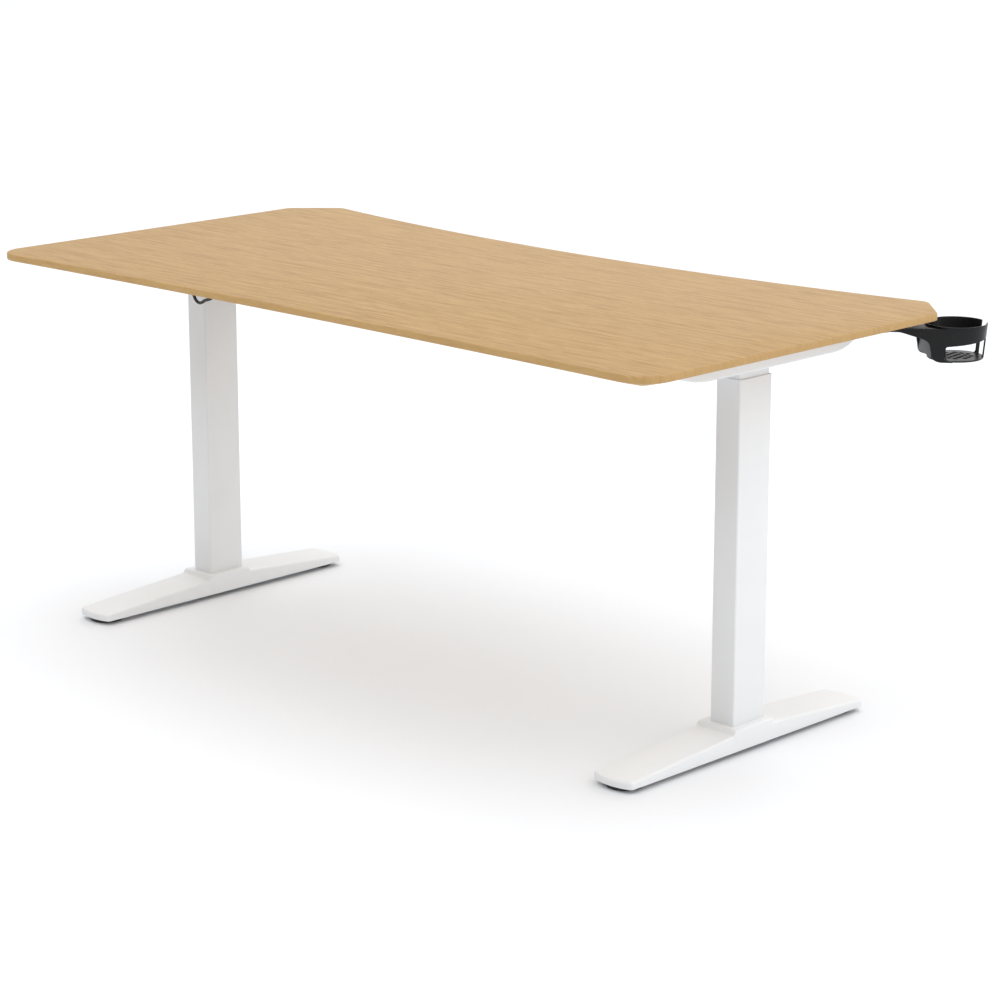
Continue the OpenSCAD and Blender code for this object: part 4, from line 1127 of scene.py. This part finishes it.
CLIP_PLACES = [
    (-347, 50, 671, 3), (-312, 50, 671, 3), (450, 92, 671, 3), (390, 92, 671, 3),
    (382, -210, 672, 2.4), (345, -210, 672, 2.4),
]
CLIP_L, CLIP_W, CLIP_SKIN, CLIP_PLAY = 10, 14, 1.5, 0.4


def cable_shape(route, r):
    """Round sheath with a stepped strain relief at both ends."""
    line = smooth_route(route, 4)
    shape = Shape(cable_skin(line, r * 0.985, 16))
    # (length along the cable, share of its radius)
    relief = [(0, 1.28), (1.2, 1.30), (1.4, 1.14), (2.4, 1.14), (2.6, 1.26), (3.8, 1.26), (4, 1.12),
              (5, 1.12), (5.2, 1.22), (6.4, 1.22), (6.6, 1.10), (7.6, 1.10), (7.8, 1.18), (9.2, 1.14),
              (9.6, 0.9)]
    sleeve = lathe([(r * k, z) for z, k in relief], 20)
    for end, inner in ((line[0], line[1]), (line[-1], line[-2])):
        turned = (inner - end).to_track_quat("Z", "Y").to_matrix().to_4x4()
        shape.add(sleeve, at(*end) @ turned)
    return shape


def cable_clips_shape():
    """Saddles stuck to the underside, arched over the cable between two flat feet."""
    shape = Shape()
    underside = span("desktop")[0].z
    foot, half = underside - 1.4, CLIP_W / 2
    for x, y, z, r in CLIP_PLACES:
        lowest = z - r - CLIP_SKIN
        bore, skin_r = r + CLIP_PLAY, r + CLIP_SKIN
        turns = [math.pi * k / 24 for k in range(25)]
        outer = [(-skin_r * math.cos(a), z - skin_r * math.sin(a)) for a in turns]
        inner = [(-bore * math.cos(a), z - bore * math.sin(a)) for a in turns]
        feet = [(half, underside), (half, foot + 0.3), (half - 0.3, foot), (skin_r + 0.6, foot)]
        section = [(-p, q) for p, q in feet] + outer + feet[::-1]
        section += [(inner[-1][0], underside)] + inner[::-1] + [(inner[0][0], underside)]
        ends = [(-CLIP_L / 2, 0.2), (-CLIP_L / 2 + 0.3, 0),
                (CLIP_L / 2 - 0.3, 0), (CLIP_L / 2, 0.2)]
        shape.add(loft([
            [(x + dx, y + p, min(max(q, lowest + skin), underside)) for p, q in section]
            for dx, skin in ends
        ]))
    return shape


# ---------------------------------------------------------------- cup holder

CUP_ARM_ANGLE = 55
CUP_REACH = 125
CUP_RIM_R, CUP_BASE_R, CUP_WALL, CUP_FLOOR_T = 52.5, 47, 2.6, 3
CUP_CHEEK_R, CUP_CHEEK_T = 50, 3
CUP_EYE_R, CUP_EYE_H, CUP_EYE_BORE = 14, 6.4, 4.05
CUP_SLOT_HALF, CUP_POST, CUP_SOLID_HALF = 14.5, 8.5, 51
CUP_WINDOW_R = 6
CUP_SLAT, CUP_HOLE, CUP_LATTICE_R = 12, 9.4, 36
CUP_WEB_X, CUP_WEB_LIFT = 53.5, 8.5
CUP_EDGE_DROP, CUP_EDGE_FALL = 18, 24
# The cheeks are tangent to the cup and to the eye round the pivot: their slope and where they touch
CUP_SLOPE = math.asin((CUP_CHEEK_R - CUP_EYE_R) / CUP_REACH)
CUP_ALONG = Vector((math.cos(CUP_SLOPE), -math.sin(CUP_SLOPE)))
CUP_ACROSS = Vector((math.sin(CUP_SLOPE), math.cos(CUP_SLOPE)))
CUP_TOUCH = CUP_CHEEK_R * CUP_ACROSS


def cup_place():
    """At the middle of the cup, local X pointing along the arm to the pivot."""
    pivot = middle("cup_pivot_screw")
    return at(pivot.x, pivot.y) @ turn("Z", CUP_ARM_ANGLE) @ at(-CUP_REACH)


def cup_mount_plate_shape():
    """Round plate with rounded rim and three recessed screw holes."""
    low, high = span("cup_mount_plate")
    mid, r, h = middle("cup_mount_plate"), (high.x - low.x) / 2, high.z - low.z
    rim = [(r - i, z) for i, z in rounded_levels(h, 1.2, 0.2, 4)]
    plate = Shape(lathe([(8, 0)] + rim, 72), at(mid.x, mid.y, low.z))
    cutter = Shape()
    for x, y, held in screw_places():
        if (Vector((x, y)) - mid.xy).length < r:
            cutter.add(screw_recess(h - held, h, ((0.9, -0.7), (0.2, 0))), at(x, y, low.z))
    cutter.add(lathe([(3, -1), (3, h + 1)], 28), at(mid.x, mid.y, low.z))
    return carve(plate, cutter)


def arc_cutter(first, last, low, high, corner):
    """Opening through the cup's wall from one angle to another, its corners rounded. high gives the
    upper edge's height at an angle."""
    inner, outer = CUP_BASE_R - 12, CUP_RIM_R + 12
    turn_in = math.degrees(corner / CUP_CHEEK_R)
    eases = [1 - math.cos(math.pi / 2 * k / 7) for k in range(8)]
    angles = [first + turn_in * e for e in eases]
    angles += [first + turn_in + (last - first - 2 * turn_in) * k / 24 for k in range(1, 24)]
    angles += [last - turn_in * e for e in reversed(eases)]
    rings = []
    for degrees in angles:
        short = max(0, 1 - min(degrees - first, last - degrees) / turn_in) if corner else 0
        lift = corner * (1 - math.sqrt(max(0, 1 - short * short)))
        near, far = [spoke(r, math.radians(degrees)) for r in (inner, outer)]
        bottom, top = low + lift, high(degrees) - lift
        rings.append([(*near, bottom), (*far, bottom), (*far, top), (*near, top)])
    return loft(rings)


def cup_windows(floor, top):
    """Openings in the cup's wall, one each side, their upper edges rising away from the arm."""
    def upper_edge(degrees):
        x = CUP_CHEEK_R * math.cos(math.radians(degrees))
        return top - CUP_EDGE_DROP - CUP_EDGE_FALL * (x + 2 * CUP_RIM_R) / (4 * CUP_RIM_R)

    end = 180 - CUP_SLOT_HALF - CUP_POST
    windows = Shape(arc_cutter(CUP_SOLID_HALF, end, floor, upper_edge, CUP_WINDOW_R))
    return windows.add(arc_cutter(-end, -CUP_SOLID_HALF, floor, upper_edge, CUP_WINDOW_R))


def cup_basket(bottom, top, windows):
    """Tapering cup with a rounded rim, split opposite the arm, its floor pierced by a lattice."""
    h, rim = top - bottom, CUP_WALL / 2

    def outer_r(z):
        return CUP_BASE_R + (CUP_RIM_R - CUP_BASE_R) * z / h

    profile = [(3, 0), (CUP_BASE_R - 1.6, 0), (CUP_BASE_R - 0.7, 0.25), (outer_r(0.8) - 0.2, 0.8),
               (outer_r(1.8), 1.8)]
    profile += [(outer_r(h * k / 6), h * k / 6) for k in range(1, 6)]
    for k in range(9):
        x, z = spoke(rim, math.pi * k / 8)
        profile.append((outer_r(h - rim) - rim + x, h - rim + z))
    profile += [(outer_r(h * k / 6) - CUP_WALL, h * k / 6) for k in range(5, 0, -1)]
    profile += [(outer_r(CUP_FLOOR_T) - CUP_WALL, CUP_FLOOR_T + 1.2),
                (CUP_BASE_R - CUP_WALL - 1, CUP_FLOOR_T), (3, CUP_FLOOR_T)]
    cutter = Shape(windows)
    slot = 180 - CUP_SLOT_HALF, 180 + CUP_SLOT_HALF
    cutter.add(arc_cutter(*slot, bottom + CUP_FLOOR_T, lambda a: top + 4, 0))
    hole = block(CUP_HOLE, CUP_HOLE, 3 * CUP_FLOOR_T, 0.8, 0.01, 4)
    for x in range(-2, 3):
        for y in range(-2, 3):
            if math.hypot(x, y) * CUP_SLAT < CUP_LATTICE_R:
                place = at(x * CUP_SLAT, y * CUP_SLAT, bottom - CUP_FLOOR_T)
                cutter.add(hole, turn("Z", 45) @ place)
    return carve(Shape(lathe(profile, 144), at(0, 0, bottom)), cutter)


def cup_eye(eye_low):
    """Plate that joins the arm's cheeks, and the collar round the pivot at its end."""
    tangent = math.pi / 2 - CUP_SLOPE
    sweep = [2 * tangent * k / 24 - tangent for k in range(25)]
    outline = [spoke(CUP_CHEEK_R + 0.5, -a) for a in sweep]
    tip = [spoke(CUP_EYE_R - 0.4, a) for a in sweep]
    outline = (outline + [(CUP_REACH + x, y) for x, y in tip])[::-1]
    centre = at(CUP_REACH, 0, eye_low)
    bore_r, h = CUP_EYE_BORE, CUP_EYE_H
    bore = Shape(lathe([(bore_r, -1), (bore_r, h + 1)], 40), centre)
    plate = carve(Shape(loft([level(outline, eye_low), level(outline, eye_low + h)])), bore)
    ring = [(bore_r + 0.01, 0.4), (bore_r + 0.6, 0)]
    ring += [(CUP_EYE_R - i, z) for i, z in rounded_levels(h, 1, 1, 3)]
    ring += [(bore_r + 0.6, h), (bore_r + 0.01, h - 0.4)]
    return plate.add(lathe(ring, 64, closed=True), centre)


def cup_cheek(side, bottom, eye_top):
    """One side of the arm: a plate with rounded edges that deepens in a curve towards the cup."""
    eye_low, t = eye_top - CUP_EYE_H, CUP_CHEEK_T
    first_x, last_x = CUP_REACH + CUP_EYE_R * math.sin(CUP_SLOPE), 20
    lower = [
        (first_x, eye_low), (CUP_REACH - 18, eye_low), (CUP_REACH - 40, eye_low - 6),
        (67, eye_top - 18.2), (60, eye_top - 22.6), (57, eye_top - 27.5), (55.8, eye_top - 34),
        (54.6, eye_top - 41), (CUP_WEB_X, bottom + CUP_WEB_LIFT), (51, bottom + 5),
        (46.6, bottom + 2.2), (42, bottom + 0.7), (37, bottom), (28, bottom), (last_x, bottom),
    ]
    curve = smooth_route([(x, 0, z) for x, z in lower], 3)
    rings = []
    for k, p in enumerate(curve):
        top_x = first_x + (last_x - first_x) * k / (len(curve) - 1)
        down = Vector((p.x - top_x, min(max(p.z, bottom), eye_low + 0.01) - eye_top))
        depth = down.length
        # (distance in from the outer face, distance down from the top edge) round the section
        section = [(0, 0.9), (0.35, 0.35), (0.9, 0), (t - 0.5, 0), (t, 0.5), (t, depth - 0.7),
                   (t - 0.7, depth), (0.9, depth), (0.35, depth - 0.35), (0, depth - 0.9)]
        ring = []
        for away, drop in section:
            x = top_x + down.x * drop / depth
            skin = CUP_TOUCH + CUP_ALONG * ((x - CUP_TOUCH.x) / CUP_ALONG.x) - CUP_ACROSS * away
            ring.append((skin.x, side * skin.y, eye_top + down.y * drop / depth))
        rings.append(ring)
    return Shape(loft(rings))


def cup_web(bottom, top):
    """Upright plate between the cheeks, just outside the cup."""
    half_w = CUP_TOUCH.y - (CUP_WEB_X - CUP_TOUCH.x) * math.tan(CUP_SLOPE) - CUP_CHEEK_T / 2
    low_z = bottom + CUP_WEB_LIFT
    return Shape(block(CUP_CHEEK_T, 2 * half_w, top - low_z, 0.4, 0.4),
                 at(CUP_WEB_X - CUP_CHEEK_T / 2, 0, low_z))


def cup_holder_shape():
    low, high = span("cup_holder")
    eye_top = span("cup_mount_plate")[0].z - 0.3
    eye_low = eye_top - CUP_EYE_H
    windows = cup_windows(low.z + CUP_FLOOR_T, high.z)
    shape = cup_basket(low.z, high.z, windows).add(cup_eye(eye_low))
    for side in (1, -1):
        shape.add(carve(cup_cheek(side, low.z, eye_top), windows))
    return Shape(shape.add(cup_web(low.z, eye_low + 1)), cup_place())


# ---------------------------------------------------------------- what stays as CAD

# How far the edges of the CAD nodes still shown are rounded, by the ends of their names
BEVELLED_CAD = {
    "_gearbox_case": 1.5, "_worm_wheel": 0.6, "_nut_tube": 0.4, "_spindle_nut": 0.5,
    "_worm_shaft": 0.3, "spindle_bearings": 0.4, "control_board": 0.2,
}


def spindle_shape(side):
    """Lifting screw with a trapezoidal thread and a plain journal above."""
    low, high = span(f"{side}_spindle")
    case_z, journal_r, r = span(f"{side}_gearbox_case")[0].z, 6, (high.x - low.x) / 2
    axis = at((low.x + high.x) / 2)
    journal = [(journal_r, case_z - 1), (journal_r, high.z - 0.6), (journal_r - 0.6, high.z)]
    thread = threaded_rod(r, r - 1.6, 4, low.z, case_z, steps=24, per_turn=8)
    return Shape(thread, axis).add(lathe(journal, 32), axis)


def finish_cad():
    """Gives every CAD node still shown its finish and rounds its edges."""
    for name, obj in frame["nodes"].items():
        if obj.hide_render:
            continue
        finish = FINISHES[SLOT_OF[name]]
        for slot in obj.material_slots:
            slot.material = finish
        if not obj.material_slots:
            obj.data.materials.append(finish)
        for ending, width in BEVELLED_CAD.items():
            if name.endswith(ending):
                soften(obj, width)


# ---------------------------------------------------------------- room


FLOOR_REACH = 40


def add_floor():
    """Large flat pale floor."""
    f = Finish("studio_floor", (0.842, 0.860, 0.888), 0.6)
    f.rough(f.noise(even(3), 3), 0.55, 0.68)
    f.tint(f.ramp(f.noise(even(1.5), 3), (0.4, 0), (0.8, 0.3)), (0.832, 0.850, 0.878))
    mesh = bpy.data.meshes.new("studio_floor")
    corners = [(-1, -1), (1, -1), (1, 1), (-1, 1)]
    mesh.from_pydata([(FLOOR_REACH * x, FLOOR_REACH * y, 0) for x, y in corners], [],
                     [(0, 1, 2, 3)])
    mesh.materials.append(f.material)
    add_object("studio_floor", mesh)


def add_light(name, place, target, size, watts):
    data = bpy.data.lights.new(name, "AREA")
    data.shape, data.size, data.size_y, data.energy = "RECTANGLE", *size, watts
    aim(add_object(name, data), place, Vector(target) - Vector(place))


SKY_WAY = (-0.25, -0.5, 0.83)
SKY_DIM, SKY_BRIGHT = 0.22, 1.42


def add_sky():
    """White surroundings, brightest overhead and towards the user's side, dim behind the desk."""
    world = bpy.data.worlds.new("studio")
    world.use_nodes = True
    tree = world.node_tree
    place = tree.nodes.new("ShaderNodeTexCoord")
    lean = tree.nodes.new("ShaderNodeVectorMath")
    lean.operation = "DOT_PRODUCT"
    lean.inputs[1].default_value = Vector(SKY_WAY).normalized()
    blend = tree.nodes.new("ShaderNodeMapRange")
    blend.interpolation_type = "SMOOTHSTEP"
    limits = {"From Min": -0.5, "From Max": 0.85, "To Min": SKY_DIM, "To Max": SKY_BRIGHT}
    for name, value in limits.items():
        blend.inputs[name].default_value = value
    background = tree.nodes["Background"]
    background.inputs["Color"].default_value = (0.995, 0.998, 1.0, 1)
    tree.links.new(place.outputs["Generated"], lean.inputs[0])
    tree.links.new(lean.outputs["Value"], blend.inputs["Value"])
    tree.links.new(blend.outputs["Result"], background.inputs["Strength"])
    bpy.context.scene.world = world


def add_room():
    """Soft sky, a broad key from the end the camera sees, and large lights overhead and behind."""
    add_sky()
    add_light("overhead", (0.3, -0.6, 6), (0, 0, 0), (5, 5), 60)
    add_light("key", (-8, 0.5, 4.5), (0, 0, 0.3), (4, 4), 15)
    add_light("back", (0.5, 6.5, 6.5), (0, 0, 0.3), (4, 3), 110)
    bpy.context.scene.view_settings.view_transform = "Standard"
    add_floor()


# ---------------------------------------------------------------- the whole desk

FINISHES = make_finishes()


def build():
    piece("desktop", desktop_shape())
    piece("desktop_screws", desktop_screws_shape())
    piece("foot_bolts", foot_bolts_shape())
    piece("rail_bolts", rail_bolts_shape())
    for rail in RAILS:
        piece(rail, rail_shape(rail))
    by_side = {
        "side_arm": side_arm_shape(),
        "outer_tube": outer_tube_shape(),
        "inner_tube": inner_tube_shape(),
        "foot": foot_shape(),
        "motor": motor_shape(),
        "guide_sleeve": sleeve_shape("right_guide_sleeve"),
        "tube_liner": sleeve_shape("right_tube_liner"),
    }
    for side in SIDES:
        for part, shape in by_side.items():
            piece(f"{side}_{part}", Shape(shape, at_column(side)))
        piece(f"{side}_spindle", spindle_shape(side))
        for end in ("front", "rear"):
            piece(f"{side}_{end}_pad", pad_shape(side, end))
            piece(f"{side}_{end}_stud", stud_shape(side, end))
    piece("control_box_case", control_box_shape(), 30)
    piece("control_box_lid", control_box_lid_shape(), 30)
    piece("mains_inlet", mains_inlet_shape(), 30)
    piece("handset_case", handset_case_shape(), 30)
    piece("handset_face", handset_face_shape(), 30)
    for button in BUTTONS:
        piece(button, button_shape(button), 30)
    piece("left_motor_cable", cable_shape(LEFT_CABLE_ROUTE, MOTOR_CABLE_R))
    piece("right_motor_cable", cable_shape(RIGHT_CABLE_ROUTE, MOTOR_CABLE_R))
    piece("handset_cable", cable_shape(HANDSET_CABLE_ROUTE, HANDSET_CABLE_R))
    piece("cable_clips", cable_clips_shape(), 30)
    piece("cup_mount_plate", cup_mount_plate_shape(), 30)
    piece("cup_pivot_screw", cup_pivot_screw_shape(), 30)
    piece("cup_holder", cup_holder_shape(), 30)
    finish_cad()


build()
add_room()
add_camera()
